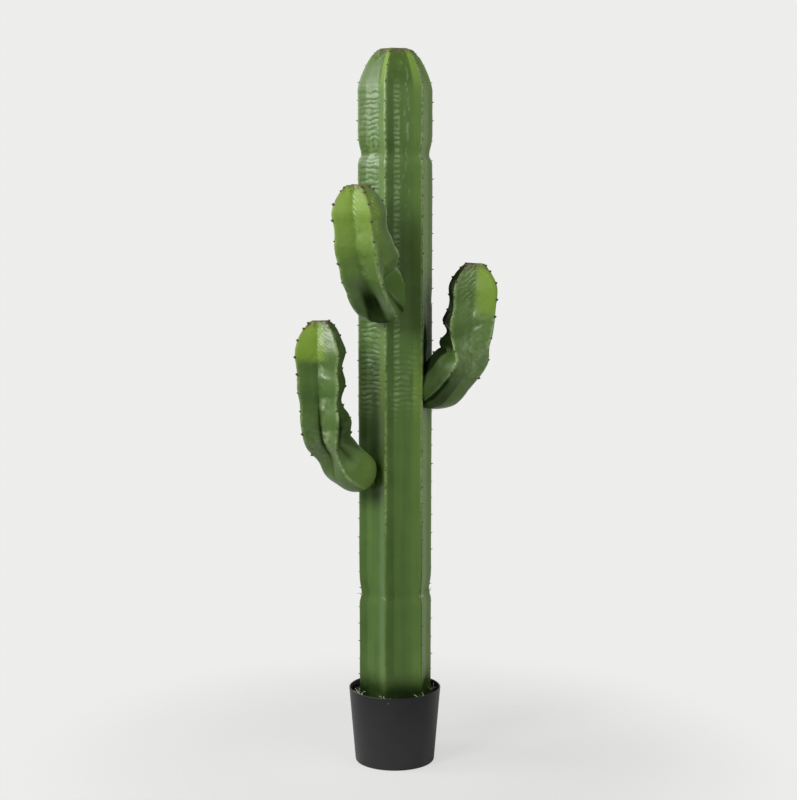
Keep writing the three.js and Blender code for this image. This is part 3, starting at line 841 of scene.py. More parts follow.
def column_tree(material):
    """The column's skin: a sheet rolled up, ribbed, rippled and marked for its paint."""
    tree, size = sized_tree("Ribbed column", ColumnSizes)
    sheet, turn, rise = unrolled(tree, COLUMN_POINTS, COLUMN_ROWS)
    plain = mixed(size.base, size.ripple_start, clamp01(rise / PLAIN_ROWS))
    rippled_share = clamp01((rise - PLAIN_ROWS) / (1 - PLAIN_ROWS))
    level = plain + (size.top + size.cap - size.ripple_start) * rippled_share
    radius, height, away = column_section(size, turn, level)
    grain = column_grains(tree, size, turn, level)
    zone = column_zones(size, turn, level, away, grain)
    wave = sine((level / size.ripple_spacing + grain.ripple * RIPPLE_WANDER) * math.pi)
    cells = wave.math("ABSOLUTE") ** RIPPLE_POWER
    relief = column_relief(size, level, cells, zone, grain)
    radius = radius + relief * clamp01(radius / COLUMN_POLE)
    marks = column_marks(size, turn, level, away, cells, zone, grain)
    skin = rolled_up(tree, sheet, column_place(tree, size, turn, radius, height), marks)
    close_tree(tree, skin, material)
    return tree


def arm_zones(size, turn, along, section, grain):
    """Where the arm's skin is rippled, wrinkled and painted, with its painted highlights, painted light and
    painted shade, each from 0 to 1.
    """
    side = sine(turn * size.ribs)
    valley = (half_rib(size.ribs) - section.off) * section.crest
    near_tip = 1 - ramp(section.below, 0, size.chevron_reach)
    beside_groove = step(side * size.chevron_side, 0, SIDE_EDGE)
    slanting = near_tip * beside_groove * bell(valley / size.chevron_width)
    above_crease = ramp(along, size.crease_place - EARLY * CREASE_FADE, CREASE_FADE)
    wrinkled = bell(valley / WRINKLE_WIDTH) * (1 - near_tip) * above_crease
    return SimpleNamespace(
        valley=valley, near_tip=near_tip, beside_groove=beside_groove, above_crease=above_crease,
        rightward=step(side, 0, SIDE_EDGE),
        slanting=slanting * patches(grain.speckle, mean=0.6, contrast=3),
        wrinkled=wrinkled * ramp(grain.patch, *WRINKLE_CUT),
        crevice=bell(valley / CREVICE_WIDTH) * bell((along - size.crevice_place) / size.crevice_length),
        outside=1 - ramp(section.inner, *OUTSIDE_END))


def arm_relief(size, along, slant, section, zone, grain):
    """Height of the arm's ripples, wrinkles and knobs above its bare skin."""
    wrinkle = sine((along / size.wrinkle_spacing + grain.wrinkle * WRINKLE_WANDER) * TURN)
    knobs = size.rim_knob * grain.knob * bell(section.below / KNOB_REACH)
    relief = size.chevron * zone.slanting * slant + size.wrinkle * zone.wrinkled * wrinkle
    return relief + knobs + size.lump * grain.lump - size.crevice * zone.crevice


def arm_shade(size, along, section, zone):
    """Painted shade inside the bend, in the crevices, beside the grooves and on the foot, and the dark seam
    where the arm meets the column.
    """
    inside = ramp(section.inner, *INSIDE) * zone.above_crease
    inside = inside.math("MAXIMUM", ramp(section.inner, *DEEP_INSIDE))
    grooved = ramp(section.off / half_rib(size.ribs), *GROOVED)
    heel = grooved * zone.outside * (1 - ramp(along, size.foot + HEEL_REACH, FOOT_FADE))
    low_foot = 1 - ramp(along, size.foot + LOW_FOOT, FOOT_FADE)
    facet = ramp(section.inner, *UPPER_FACET)
    ridge = zone.rightward * (1 - ramp(section.inner, *LOWER_RIDGE_END))
    shade = size.inner_shade * inside + size.heel_shade * heel + size.crevice_shade * zone.crevice
    shade = shade + size.flank_shade * zone.rightward * (1 - zone.near_tip) * zone.above_crease
    shade = shade + (size.facet_shade * facet + size.ridge_shade * ridge) * low_foot
    seam = 1 - step(along, 0, SEAM)
    return shade + seam


def arm_marks(size, along, slant, section, zone, grain):
    """The same marks on an arm."""
    edge = section.below + grain.spray * SPRAY_WANDER
    sprayed = 1 - step(edge, size.spray, size.spray_fade)
    sprayed = sprayed * (1 - step(section.inner, size.spray_side, SPRAY_SIDE_SPAN))
    # Painted light on the round heel.
    heel_spray = size.heel_spray * (1 - ramp(along, size.heel, HEEL_LIGHT_FADE))
    # Painted light in pale patches on the outside of the bend.
    lit_outside = size.dust * zone.outside * bell((along - size.dust_place) / size.dust_length)
    lit_outside = lit_outside * patches(grain.speckle, mean=0.7, contrast=2)
    # A painted glint in the hollows between the waves, on one side of each groove.
    hollow = ramp(section.wave * -1, 0, WAVE_HOLLOW) * bell((zone.valley - GLINT_PLACE) / GLINT_WIDTH)
    scuffed_and_glinting = size.scuff * hollow * zone.above_crease * zone.beside_groove
    scuffed_and_glinting = scuffed_and_glinting * patches(grain.scuff, mean=0.5, contrast=3)
    crest_end = bell(section.off * section.crest / CREST_SCAR_WIDTH)
    crest_end = crest_end * (1 - ramp(section.below, 0, CREST_SCAR_REACH))
    # Painted highlight on the tops of the slanting ripples.
    ripples = zone.slanting * smooth(slant) * CHEVRON_HIGHLIGHT
    tip_scar = ramp(along, arm_total(size) - SCAR_EARLY * size.scar, size.scar)
    return {
        "rib": section.off / half_rib(size.ribs),
        "brush": ripples + lit_outside + scuffed_and_glinting,
        "spray": sprayed + heel_spray,
        "shade": arm_shade(size, along, section, zone),
        "scar": tip_scar + CREST_SCAR * crest_end,
    }


def arm_tree(material):
    """An arm's skin, made like the column's along a bent path."""
    tree, size = sized_tree("Ribbed arm", ArmSizes)
    sheet, turn, rise = unrolled(tree, ARM_POINTS, ARM_ROWS)
    along = rise * (arm_total(size) + size.cap + size.plug) - size.plug
    section = arm_section(size, turn, along)
    place = add_node(tree, "ShaderNodeCombineXYZ", {
        "X": section.crest * sine(turn), "Y": section.crest * cosine(turn), "Z": along})
    grain = SimpleNamespace(**{
        name: add_node(tree, "ShaderNodeTexNoise", {"Vector": place, "Scale": 1 / width}) - 0.5
        for name, width in dict(ARM_GRAINS, lump=size.lump_size).items()})
    zone = arm_zones(size, turn, along, section, grain)
    shifted = along + zone.valley * CHEVRON_SLOPE + grain.chevron * CHEVRON_WANDER
    slant = sine(shifted * TURN / size.chevron_spacing)
    relief = arm_relief(size, along, slant, section, zone, grain)
    radius = section.radius + relief * clamp01(section.radius / ARM_POLE)
    marks = arm_marks(size, along, slant, section, zone, grain)
    skin = rolled_up(tree, sheet, arm_place(tree, section, radius), marks)
    close_tree(tree, skin, material)
    return tree


# Thorns and moss

COLUMN_THORNS = 40  # rows on each rib of the column
ARM_THORNS = 14  # rows on each rib of an arm
POT_CLEARANCE = 4 * MM  # distance of the lowest thorns from the pot
BARE_BEND = 30 * MM  # length without thorns where an arm's bend starts
CROWDED_ROWS = 2  # rows over which the thorns' crowding near the tip fades
LARGEST_THORN = 1.2  # size of the largest thorns, as a share
THORN_SIZE_SEED = 3
THORN_SHIFT_SEED = 5
BEAD_DETAIL = 2
SPIKE_SIDES = 7

# Points along a strand of moss, as shares of its height.
STRAND_POINTS = {
    "Start": (0, 0, 0),
    "Start Handle": (0, 0, 0.5),
    "End Handle": (0.1, 0, 0.8),
    "End": (0.45, 0.1, 1),
}
STRAND_STEPS = 7
STRAND_SIDES = 5

# Random draws for each strand: lowest, highest and seed.
MOSS_DRAWS = {
    "turn": (-1, 1, 11),
    "reach": (0, 1, 12),
    "tilt_x": (-0.9, 0.9, 13),
    "tilt_y": (-0.9, 0.9, 14),
    "spin": (0, TURN, 15),
    "scale": (0.5, 1.3, 16),
}


def counted(tree, rows, ribs):
    """The turn of each point's rib and its row, for points that count rows of thorns on each rib."""
    index = add_node(tree, "GeometryNodeInputIndex")
    rib = (index / rows).math("FLOOR")
    return rib * TURN / ribs, index - rib * rows


def thorn_shape(tree, size):
    """A bead with a short spike, pointing up."""
    bead = add_node(tree, "GeometryNodeMeshIcoSphere", {"Radius": size.bead, "Subdivisions": BEAD_DETAIL})
    spike = add_node(tree, "GeometryNodeMeshCone", {
        "Vertices": SPIKE_SIDES, "Radius Top": 0.0, "Radius Bottom": size.spike_width,
        "Depth": size.spike + size.bead})
    joined = add_node(tree, "GeometryNodeJoinGeometry", {"Geometry": [bead, spike]})
    return add_node(tree, "GeometryNodeSetShadeSmooth", {"Geometry": joined})


def thorns_on(tree, size, count, place, direction, hidden):
    """Thorns at the points of a rule, each turned to its own direction."""
    points = add_node(tree, "GeometryNodePoints", {"Count": count, "Position": place})
    kept = add_node(tree, "GeometryNodeStoreNamedAttribute", {
        "Geometry": points, "Name": "direction", "Value": direction},
        data_type="FLOAT_VECTOR", domain="POINT")
    seen = add_node(tree, "GeometryNodeDeleteGeometry", {
        "Geometry": kept, "Selection": hidden}, domain="POINT")
    outward = add_node(tree, "GeometryNodeInputNamedAttribute", {
        "Name": "direction"}, data_type="FLOAT_VECTOR")
    turned = add_node(tree, "FunctionNodeAlignRotationToVector", {"Vector": outward}, axis="Z")
    scale = add_node(tree, "FunctionNodeRandomValue", {
        "Min": size.smallest, "Max": LARGEST_THORN, "Seed": THORN_SIZE_SEED}, data_type="FLOAT")
    return add_node(tree, "GeometryNodeInstanceOnPoints", {
        "Points": seen, "Instance": thorn_shape(tree, size), "Rotation": turned, "Scale": scale})


def thorn_distance(tree, size, row):
    """Distance of a thorn from the end of its crest: the thorns stand closer near the tip."""
    crowded = 1 - size.crowding * (row / -CROWDED_ROWS).math("EXPONENT")
    shift = add_node(tree, "FunctionNodeRandomValue", {
        "Min": -1, "Max": 1, "Seed": THORN_SHIFT_SEED}, data_type="FLOAT")
    return size.first + size.spacing * row * crowded + size.spread * row * row + shift * size.jitter


def column_thorn_tree(material):
    """Thorns along the column's ribs, from its top to the pot."""
    tree, size = sized_tree("Thorns on the column", ColumnSizes, ThornSizes)
    turn, row = counted(tree, COLUMN_THORNS, size.ribs)
    level = size.top - thorn_distance(tree, size, row)
    radius, height, _ = column_section(size, turn, level)
    azimuth = size.rib_azimuth + turn
    direction = add_node(tree, "ShaderNodeCombineXYZ", {
        "X": sine(azimuth), "Y": cosine(azimuth) * -1, "Z": size.rise.math("TANGENT")})
    hidden = level.math("LESS_THAN", POT_HIGH.z + POT_CLEARANCE)
    place = column_place(tree, size, turn, radius, height)
    thorns = thorns_on(tree, size, size.ribs * COLUMN_THORNS, place, direction, hidden)
    close_tree(tree, thorns, material)
    return tree


def arm_thorn_tree(material):
    """Thorns along an arm's ribs, from its tip to the bend."""
    tree, size = sized_tree("Thorns on an arm", ArmSizes, ThornSizes)
    turn, row = counted(tree, ARM_THORNS, size.ribs)
    along = arm_total(size) - thorn_distance(tree, size, row)
    section = arm_section(size, turn, along)
    x, y, z = arm_direction(section)
    direction = add_node(tree, "ShaderNodeCombineXYZ", {
        "X": x, "Y": y, "Z": z + size.rise.math("TANGENT")})
    hidden = along.math("LESS_THAN", size.foot + BARE_BEND)
    place = arm_place(tree, section, section.radius)
    thorns = thorns_on(tree, size, size.ribs * ARM_THORNS, place, direction, hidden)
    close_tree(tree, thorns, material)
    return tree


def moss_tree(material):
    """Tufts of curved strands in a ring round the column."""
    tree, size = sized_tree("Dried moss", MossSizes)
    draw = SimpleNamespace(**{
        name: add_node(tree, "FunctionNodeRandomValue", {
            "Min": low, "Max": high, "Seed": seed}, data_type="FLOAT")
        for name, (low, high, seed) in MOSS_DRAWS.items()})
    tuft = (add_node(tree, "GeometryNodeInputIndex") / size.strands).math("FLOOR")
    turn = size.first_tuft + tuft * size.tuft_turn + draw.turn * size.tuft_spread
    reach = mixed(size.inner, size.outer, draw.reach)
    place = add_node(tree, "ShaderNodeCombineXYZ", {
        "X": reach * sine(turn), "Y": reach * cosine(turn) * -1, "Z": size.level})
    points = add_node(tree, "GeometryNodePoints", {"Count": size.strands * size.tufts, "Position": place})
    strand_points = {
        name: add_node(tree, "ShaderNodeCombineXYZ", {
            axis: size.strand * part for axis, part in enumerate(parts)})
        for name, parts in STRAND_POINTS.items()}
    strand = add_node(
        tree, "GeometryNodeCurvePrimitiveBezierSegment", dict(strand_points, Resolution=STRAND_STEPS))
    ring = add_node(tree, "GeometryNodeCurvePrimitiveCircle", {
        "Resolution": STRAND_SIDES, "Radius": size.thickness})
    body = add_node(tree, "GeometryNodeCurveToMesh", {
        "Curve": strand, "Profile Curve": ring, "Fill Caps": True})
    tilt = add_node(tree, "ShaderNodeCombineXYZ", {"X": draw.tilt_x, "Y": draw.tilt_y, "Z": draw.spin})
    turned = add_node(tree, "FunctionNodeEulerToRotation", {0: tilt})
    grown = add_node(tree, "GeometryNodeInstanceOnPoints", {
        "Points": points, "Instance": body, "Rotation": turned, "Scale": draw.scale})
    close_tree(tree, grown, material)
    return tree


# Materials

# The skin's noises: width and detail.
SKIN_GRAINS = {"mottle": (40 * MM, 4), "fine": (6 * MM, 3), "bump": (3 * MM, 3), "streak": (9 * MM, 2)}
STREAK_DRAW = (1, 1, 0.05)  # streaks run up the skin, twenty times as long as wide
CREST_PAINT = 0.05  # half the width of the pale crest, lighter paint with a painted highlight, as a share of the way to the groove
SKIN_BUMP = 0.4 * MM  # height of the skin's finest grain
POT_CLOUD = 25 * MM  # width of the pot's cloudiness
POT_SPECK = 1.6 * MM  # width of the pot's grain, drawn coarser than it is so that it shows
POT_BUMP = 0.2 * MM  # height of that grain
THORN_GRAIN = 5 * MM  # width of the thorns' mottling
MOSS_GRAIN = 6 * MM  # width of the moss's darker places
CEMENT_STAIN = 14 * MM  # width of the cement's stains


def new_material(name):
    """An empty material, its tree and the place on the piece."""
    material = bpy.data.materials.new(name)
    material.use_nodes = True
    tree = material.node_tree
    tree.nodes.clear()
    return material, tree, add_node(tree, "ShaderNodeTexCoord").output("Object")


def close_material(tree, inputs):
    """Ends a material's tree with its shader."""
    shader = add_node(tree, "ShaderNodeBsdfPrincipled", inputs)
    add_node(tree, "ShaderNodeOutputMaterial", {"Surface": shader})


def toned(paint, gain):
    """A paint made lighter or darker."""
    return (*(min(1.0, part * gain) for part in paint[:3]), 1.0)


def skin_material(colours):
    """Moulded polyethylene under sprayed paint: satin, mottled, pale on the crests, yellowish on the tips,
    with painted shade, painted light and painted highlights.
    """
    material, tree, place = new_material("sprayed_polyethylene_skin")
    drawn = add_node(tree, "ShaderNodeVectorMath", {0: place, 1: STREAK_DRAW}, operation="MULTIPLY")
    grain = SimpleNamespace(**{
        name: add_node(tree, "ShaderNodeTexNoise", {
            "Vector": drawn if name == "streak" else place, "Scale": 1 / width, "Detail": detail}) - 0.5
        for name, (width, detail) in SKIN_GRAINS.items()})
    mark = SimpleNamespace(**{
        name: add_node(tree, "ShaderNodeAttribute", attribute_name=name).output("Fac")
        for name in ("rib", "brush", "spray", "shade", "scar")})
    rib = clamp01(mark.rib)
    sprayed = clamp01(mark.spray * (1 + grain.fine * 0.8))
    shaded = clamp01(mark.shade * (0.85 + grain.mottle))
    # Each coat, and how much of the skin it covers: painted shade towards the grooves with mottled streaks,
    # the pale crests with their painted highlight, the spray with its painted light, the painted highlights
    # and scuffs, the painted shade, and the scars.
    coats = (
        (colours.skin_deep, clamp01(rib * 0.3 + grain.mottle * 0.8 + grain.streak * 0.9)),
        (colours.skin_pale, clamp01(bell(rib / CREST_PAINT) * (0.55 + grain.fine * 2.8))),
        (colours.spray, sprayed),
        (colours.brush, clamp01(mark.brush * (0.5 + grain.fine * 1.5))),
        (colours.skin_shade, shaded),
        (colours.scar, clamp01(mark.scar * (0.6 + grain.fine * 3))),
    )
    paint = colours.skin
    for coat, cover in coats:
        paint = add_node(tree, "ShaderNodeMix", {"Factor": cover, "A": paint, "B": coat}, data_type="RGBA")
    bump = add_node(tree, "ShaderNodeBump", {"Strength": 0.25, "Distance": SKIN_BUMP, "Height": grain.bump})
    # The spray is duller than the bare skin, and the painted shade mirrors little.
    close_material(tree, {
        "Base Color": paint,
        "Roughness": 0.34 + grain.fine * 0.2 + sprayed * 0.22,
        "Specular IOR Level": clamp01(0.5 - shaded * 0.6 - sprayed * 0.2),
        "Normal": bump,
    })
    return material


def pot_material(colours):
    """Moulded black polypropylene: matte, with a faint cloudiness from the mould."""
    material, tree, place = new_material("moulded_polypropylene_black")
    cloud = add_node(tree, "ShaderNodeTexNoise", {"Vector": place, "Scale": 1 / POT_CLOUD, "Detail": 3}) - 0.5
    speck = add_node(tree, "ShaderNodeTexNoise", {"Vector": place, "Scale": 1 / POT_SPECK}) - 0.5
    paint = add_node(tree, "ShaderNodeMix", {
        "Factor": patches(cloud, mean=0.35, contrast=1), "A": colours.pot, "B": toned(colours.pot, 1.7)},
        data_type="RGBA")
    bump = add_node(tree, "ShaderNodeBump", {"Strength": 0.2, "Distance": POT_BUMP, "Height": speck})
    close_material(tree, {
        "Base Color": paint, "Roughness": 0.42 + cloud * 0.12, "Specular IOR Level": 0.45, "Normal": bump})
    return material


def thorn_material(colours):
    """Painted thorn and bead: dull grey-brown."""
    material, tree, place = new_material("painted_thorn")
    grain = add_node(tree, "ShaderNodeTexNoise", {"Vector": place, "Scale": 1 / THORN_GRAIN}) - 0.5
    paint = add_node(tree, "ShaderNodeMix", {
        "Factor": patches(grain, mean=0.5, contrast=2), "A": colours.thorn, "B": toned(colours.thorn, 0.5)},
        data_type="RGBA")
    close_material(tree, {"Base Color": paint, "Roughness": 0.7})
    return material


def moss_material(colours):
    """Dried moss: dull straw with darker strands."""
    material, tree, place = new_material("dried_moss")
    grain = add_node(tree, "ShaderNodeTexNoise", {"Vector": place, "Scale": 1 / MOSS_GRAIN}) - 0.5
    paint = add_node(tree, "ShaderNodeMix", {
        "Factor": patches(grain, mean=0.5, contrast=2.5), "A": colours.moss, "B": toned(colours.moss, 0.35)},
        data_type="RGBA")
    close_material(tree, {"Base Color": paint, "Roughness": 0.9})
    return material


def cement_material(colours):
    """Cast cement: rough, stained and speckled."""
    material, tree, place = new_material("cast_cement")
    stain = add_node(tree, "ShaderNodeTexNoise", {
        "Vector": place, "Scale": 1 / CEMENT_STAIN, "Detail": 5}) - 0.5
    cover = patches(stain, mean=0.5, contrast=2.4)
    paint = add_node(tree, "ShaderNodeMix", {
        "Factor": cover, "A": colours.cement, "B": toned(colours.cement, 0.4)}, data_type="RGBA")
    close_material(tree, {"Base Color": paint, "Roughness": 0.95})
    return material


# Pieces

FILLER_TAPER = 1 * MM  # distance of the filler's foot from the pot's wall
FILLER_RINGS = 26  # rings of points on the filler's rough top
FILLER_EDGE = 0.5 * MM  # width of the even edge beside the pot
FILLER_LUMP = 2.2 * MM  # height of the lumps
FILLER_LUMP_WIDTH = 9 * MM
FILLER_ROUGHNESS = (0.8, 2.0, 4)  # fall of the finer lumps' height, their fineness and their number of sizes


def place_piece(piece, slot, *nodes):
    """Attaches a finished piece to the pot's body and hides the solids that it stands for; its finish, the
    slot, is not used.
    """
    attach(piece, BODY)
    if nodes:
        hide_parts(*nodes)


def lathe(name, profile, sides, material):
    """A closed round body from a profile of radius and height that starts and ends on the axis."""
    vertices, faces, rings = [], [], []
    for radius, height in profile:
        count = 1 if radius == 0 else sides
        rings.append(range(len(vertices), len(vertices) + count))
        for i in range(count):
            turn = TURN * i / sides
            vertices.append((radius * math.sin(turn), -radius * math.cos(turn), height))
    for low, high in zip(rings, rings[1:]):
        for i in range(sides):
            a, b = low[i % len(low)], low[(i + 1) % len(low)]
            c, d = high[(i + 1) % len(high)], high[i % len(high)]
            faces.append([v for k, v in enumerate((a, b, c, d)) if v not in (a, b, c, d)[:k]])
    mesh = bpy.data.meshes.new(name)
    mesh.from_pydata(vertices, [], faces)
    mesh.materials.append(material)
    mesh.shade_smooth()
    piece = bpy.data.objects.new(name, mesh)
    bpy.context.scene.collection.objects.link(piece)
    return piece


def rounded(corners, steps=5):
    """The profile through corners of (radius, height, round), with each round drawn as an arc."""
    points = []
    for i, (r, z, size) in enumerate(corners):
        corner = Vector((r, z))
        if size == 0:
            points.append(tuple(corner))
            continue
        before = (Vector(corners[i - 1][:2]) - corner).normalized()
        after = (Vector(corners[i + 1][:2]) - corner).normalized()
        half = before.angle(after) / 2
        centre = corner + (before + after).normalized() * size / math.sin(half)
        first = corner + before * size / math.tan(half)
        last = corner + after * size / math.tan(half)
        for k in range(steps + 1):
            spoke = (first - centre).lerp(last - centre, k / steps).normalized()
            points.append(tuple(centre + spoke * size))
    return points


class CACTUS_OT_add_column(bpy.types.Operator):
    """Adds the ribbed column"""
    bl_idname = "cactus.add_column"
    bl_label = "Add column"

    def execute(self, context):
        settings = context.scene.cactus
        tree = column_tree(skin_material(settings.colours))
        place_piece(grow("cactus_column", tree, settings.column), "cactus_skin", "column")
        return {"FINISHED"}


class CACTUS_OT_add_arms(bpy.types.Operator):
    """Adds the ribbed arms, each in one piece"""
    bl_idname = "cactus.add_arms"
    bl_label = "Add arms"

    def execute(self, context):
        settings = context.scene.cactus
        tree = arm_tree(bpy.data.materials["sprayed_polyethylene_skin"])
        for arm in settings.arms:
            piece = grow(f"cactus_{arm.name}", tree, arm)
            place_piece(piece, "cactus_skin", f"{arm.name}_foot", f"{arm.name}_upper")
        return {"FINISHED"}


class CACTUS_OT_add_thorns(bpy.types.Operator):
    """Adds the thorns along the ribs of the column and the arms"""
    bl_idname = "cactus.add_thorns"
    bl_label = "Add thorns"

    def execute(self, context):
        settings = context.scene.cactus
        material = thorn_material(settings.colours)
        piece = grow("column_thorns", column_thorn_tree(material), settings.column, settings.column_thorns)
        place_piece(piece, "cactus_skin")
        tree = arm_thorn_tree(material)
        for arm in settings.arms:
            place_piece(grow(f"{arm.name}_thorns", tree, arm, settings.arm_thorns), "cactus_tip")
        return {"FINISHED"}


class CACTUS_OT_add_moss(bpy.types.Operator):
    """Adds the dried moss round the column's foot and the few strands at its lower waist"""
    bl_idname = "cactus.add_moss"
    bl_label = "Add moss"

    def execute(self, context):
        settings = context.scene.cactus
        tree = moss_tree(moss_material(settings.colours))
        place_piece(grow("dried_moss", tree, settings.moss), "cement")
        place_piece(grow("waist_moss", tree, settings.waist_moss), "cactus_skin")
        return {"FINISHED"}


class CACTUS_OT_add_pot(bpy.types.Operator):
    """Adds the pot"""
    bl_idname = "cactus.add_pot"
    bl_label = "Add pot"

    def execute(self, context):
        pot = context.scene.cactus.pot
        taper = (pot.rim_radius - pot.foot_radius) / pot.height
        inner_foot = pot.foot_radius + taper * pot.floor - pot.wall
        profile = rounded([
            (0, 0, 0),
            (pot.foot_radius, 0, pot.foot_round),
            (pot.rim_radius, pot.height, pot.rim_round),
            (pot.rim_radius - pot.wall, pot.height, pot.rim_round),
            (inner_foot, pot.floor, pot.foot_round),
            (0, pot.floor, 0),
        ])
        piece = lathe("plant_pot", profile, pot.sides, pot_material(context.scene.cactus.colours))
        place_piece(piece, "pot_plastic", "pot")
        return {"FINISHED"}


class CACTUS_OT_add_filler(bpy.types.Operator):
    """Adds the rough cement in the pot"""
    bl_idname = "cactus.add_filler"
    bl_label = "Add filler"

    def execute(self, context):
        pot = context.scene.cactus.pot
        top = FILLER_HIGH.z
        reach = FILLER_HIGH.x
        low = pot.foot_radius - pot.wall - FILLER_TAPER
        profile = [(0, FILLER_LOW.z), (low, FILLER_LOW.z), (reach, top)]
        profile += [(reach * (1 - k / FILLER_RINGS), top) for k in range(1, FILLER_RINGS + 1)]
        piece = lathe("pot_cement", profile, pot.sides, cement_material(context.scene.cactus.colours))
        for vertex in piece.data.vertices:
            if vertex.co.z > top - WELD and vertex.co.xy.length < reach - FILLER_EDGE:
                vertex.co.z += FILLER_LUMP * noise.fractal(vertex.co / FILLER_LUMP_WIDTH, *FILLER_ROUGHNESS)
        place_piece(piece, "cement", "pot_filler")
        return {"FINISHED"}


# Stage

CAMERA_PLACE = (6.6 * MM, -2.9642, 0.9963)
CAMERA_PITCH = math.radians(6.76)
CAMERA_LENS = 77.04
AIM = Vector((0, 0, 0.85))

# Each light's place, size and power, and whether the skin mirrors it.
SOFTBOXES = {
    "left_key": ((-1.95, -2.15, 2.15), (1.2, 1.2), 78, True),
    "right_fill": ((2.3, -1.9, 1.9), (3.0, 2.6), 56, False),
    "left_rim": ((-1.8, -0.15, 1.85), (1.0, 1.3), 30, True),
}

# The white surroundings and their strengths.
SURROUNDINGS = (1, 1, 0.99, 1)
SEEN = 0.85  # as the camera sees them
LIGHT_BELOW = 0.38  # as light from below
LIGHT_ABOVE = 0.14  # as light from above
MIRRORED_FRONT = 0.08  # as a reflection of what is in front
MIRRORED_BACK = 0.68  # as a reflection of what is behind
BACK = (0.05, 0.5)  # start and span of what is behind, from 0 at the side to 1 straight behind

# The paper floor.
FLOOR_RADIUS = 2.2
FLOOR_DEPTH = 6 * MM
FLOOR_SIDES = 96
FLOOR_FADE = (0.08, 0.7)  # distance where it starts to fade into the white, and the span of that
FLOOR_TONE = 0.75  # its tone as it lights the plant
FLOOR_SEEN_TONE = 0.2  # its tone as the camera sees it, under its glow
FLOOR_GLOW = 0.69


class CACTUS_OT_add_stage(bpy.types.Operator):
    """Adds the studio floor, the lights and the camera"""
    bl_idname = "cactus.add_stage"
    bl_label = "Add stage"

    def execute(self, context):
        scene = context.scene
        scene.view_settings.view_transform = "Standard"
        self.add_camera(scene)
        self.add_lights(scene)
        self.add_surroundings(scene)
        self.add_floor(scene)
        return {"FINISHED"}

    def add_camera(self, scene):
        data = bpy.data.cameras.new("camera")
        data.lens = CAMERA_LENS
        camera = bpy.data.objects.new("camera", data)
        camera.location = CAMERA_PLACE
        camera.rotation_euler = (math.pi / 2 - CAMERA_PITCH, 0, 0)
        scene.collection.objects.link(camera)
        scene.camera = camera

    def add_lights(self, scene):
        for name, (place, size, power, mirrored) in SOFTBOXES.items():
            data = bpy.data.lights.new(name, "AREA")
            data.shape = "RECTANGLE"
            data.size, data.size_y = size
            data.energy = power
            light = bpy.data.objects.new(name, data)
            light.location = place
            light.rotation_euler = (AIM - Vector(place)).to_track_quat("-Z", "Y").to_euler()
            light.visible_camera = False
            light.visible_glossy = mirrored
            scene.collection.objects.link(light)

    def add_surroundings(self, scene):
        world = bpy.data.worlds.new("white_studio")
        world.use_nodes = True
        tree = world.node_tree
        tree.nodes.clear()
        place = add_node(tree, "ShaderNodeTexCoord").output("Generated")
        direction = add_node(tree, "ShaderNodeSeparateXYZ", {0: place})
        back = ramp(direction.output("Y"), *BACK)
        above = step(direction.output("Z"), 0, 2)
        rays = add_node(tree, "ShaderNodeLightPath")
        lighting = mixed(LIGHT_BELOW, LIGHT_ABOVE, above)
        mirrored = mixed(MIRRORED_FRONT, MIRRORED_BACK, back)
        strength = mixed(lighting, mirrored, rays.output("Is Glossy Ray"))
        strength = mixed(strength, SEEN, rays.output("Is Camera Ray"))
        background = add_node(tree, "ShaderNodeBackground", {"Color": SURROUNDINGS, "Strength": strength})
        add_node(tree, "ShaderNodeOutputWorld", {"Surface": background})
        scene.world = world

    def add_floor(self, scene):
        material, tree, place = new_material("seamless_paper")
        distance = add_node(tree, "ShaderNodeVectorMath", {0: place}, operation="LENGTH")
        seen = add_node(tree, "ShaderNodeLightPath").output("Is Camera Ray")
        base = scene.cactus.colours.floor
        paint = add_node(tree, "ShaderNodeMix", {
            "Factor": seen, "A": toned(base, FLOOR_TONE), "B": toned(base, FLOOR_SEEN_TONE)},
            data_type="RGBA")
        close_material(tree, {
            "Base Color": paint, "Roughness": 0.8, "Alpha": 1 - ramp(distance, *FLOOR_FADE),
            "Emission Color": base, "Emission Strength": seen * FLOOR_GLOW})
        profile = [(0, -FLOOR_DEPTH), (FLOOR_RADIUS, -FLOOR_DEPTH), (FLOOR_RADIUS, 0), (0, 0)]
        floor = lathe("studio_floor", profile, FLOOR_SIDES, material)


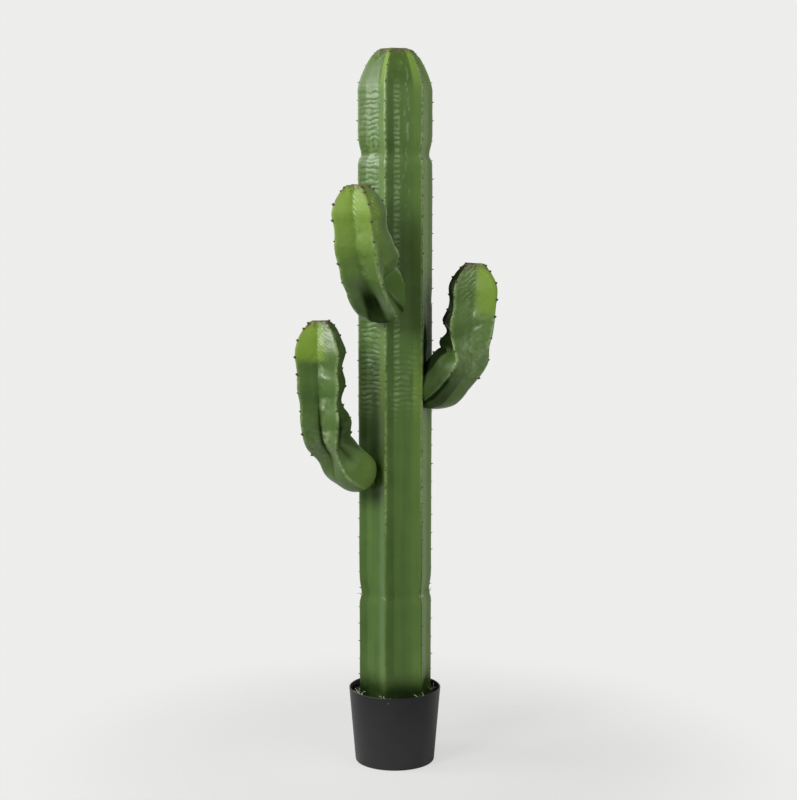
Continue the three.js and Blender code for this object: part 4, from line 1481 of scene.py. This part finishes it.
class CACTUS_PT_panel(bpy.types.Panel):
    """Lists the pieces of the cactus and their sizes"""
    bl_idname = "CACTUS_PT_panel"
    bl_label = "Candelabra cactus"
    bl_space_type = "VIEW_3D"
    bl_region_type = "UI"
    bl_category = "Cactus"

    def draw(self, context):
        settings = context.scene.cactus
        for operator in OPERATORS:
            self.layout.operator(operator.bl_idname)
        groups = [
            settings.column, settings.column_thorns, settings.arm_thorns, settings.moss, settings.waist_moss,
            settings.pot, settings.colours]
        for group in [*groups, *settings.arms]:
            box = self.layout.box()
            for item in group.bl_rna.properties:
                if item.identifier not in {"rna_type", "name"}:
                    box.prop(group, item.identifier)


GROUPS = (ColumnSizes, ArmSizes, ThornSizes, MossSizes, PotSizes, CactusColours, CactusSettings)
OPERATORS = (
    CACTUS_OT_add_pot, CACTUS_OT_add_filler, CACTUS_OT_add_moss, CACTUS_OT_add_column, CACTUS_OT_add_arms,
    CACTUS_OT_add_thorns, CACTUS_OT_add_stage,
)


def register():
    for item in (*GROUPS, *OPERATORS, CACTUS_PT_panel):
        bpy.utils.register_class(item)
    bpy.types.Scene.cactus = PointerProperty(type=CactusSettings)


def unregister():
    del bpy.types.Scene.cactus
    for item in reversed((*GROUPS, *OPERATORS, CACTUS_PT_panel)):
        bpy.utils.unregister_class(item)


def set_sizes(group, sizes):
    """Sets sizes of a group that are given in millimetres and degrees."""
    for key, value in sizes.items():
        setattr(group, key, value * UNIT_SCALES.get(group.bl_rna.properties[key].unit, 1))


def add_sizes(settings):
    """Sets the thorns and the moss, and fills the list of arms."""
    set_sizes(settings.column_thorns, COLUMN_THORN_SIZES)
    set_sizes(settings.arm_thorns, ARM_THORN_SIZES)
    set_sizes(settings.waist_moss, WAIST_MOSS_SIZES)
    for name, sizes in ARMS.items():
        arm = settings.arms.add()
        arm.name = name
        set_sizes(arm, sizes)


def main():
    register()
    add_sizes(bpy.context.scene.cactus)
    bpy.ops.cactus.add_pot()
    bpy.ops.cactus.add_filler()
    bpy.ops.cactus.add_column()
    bpy.ops.cactus.add_arms()
    bpy.ops.cactus.add_thorns()
    bpy.ops.cactus.add_moss()
    bpy.ops.cactus.add_stage()


if __name__ == "__main__":
    main()
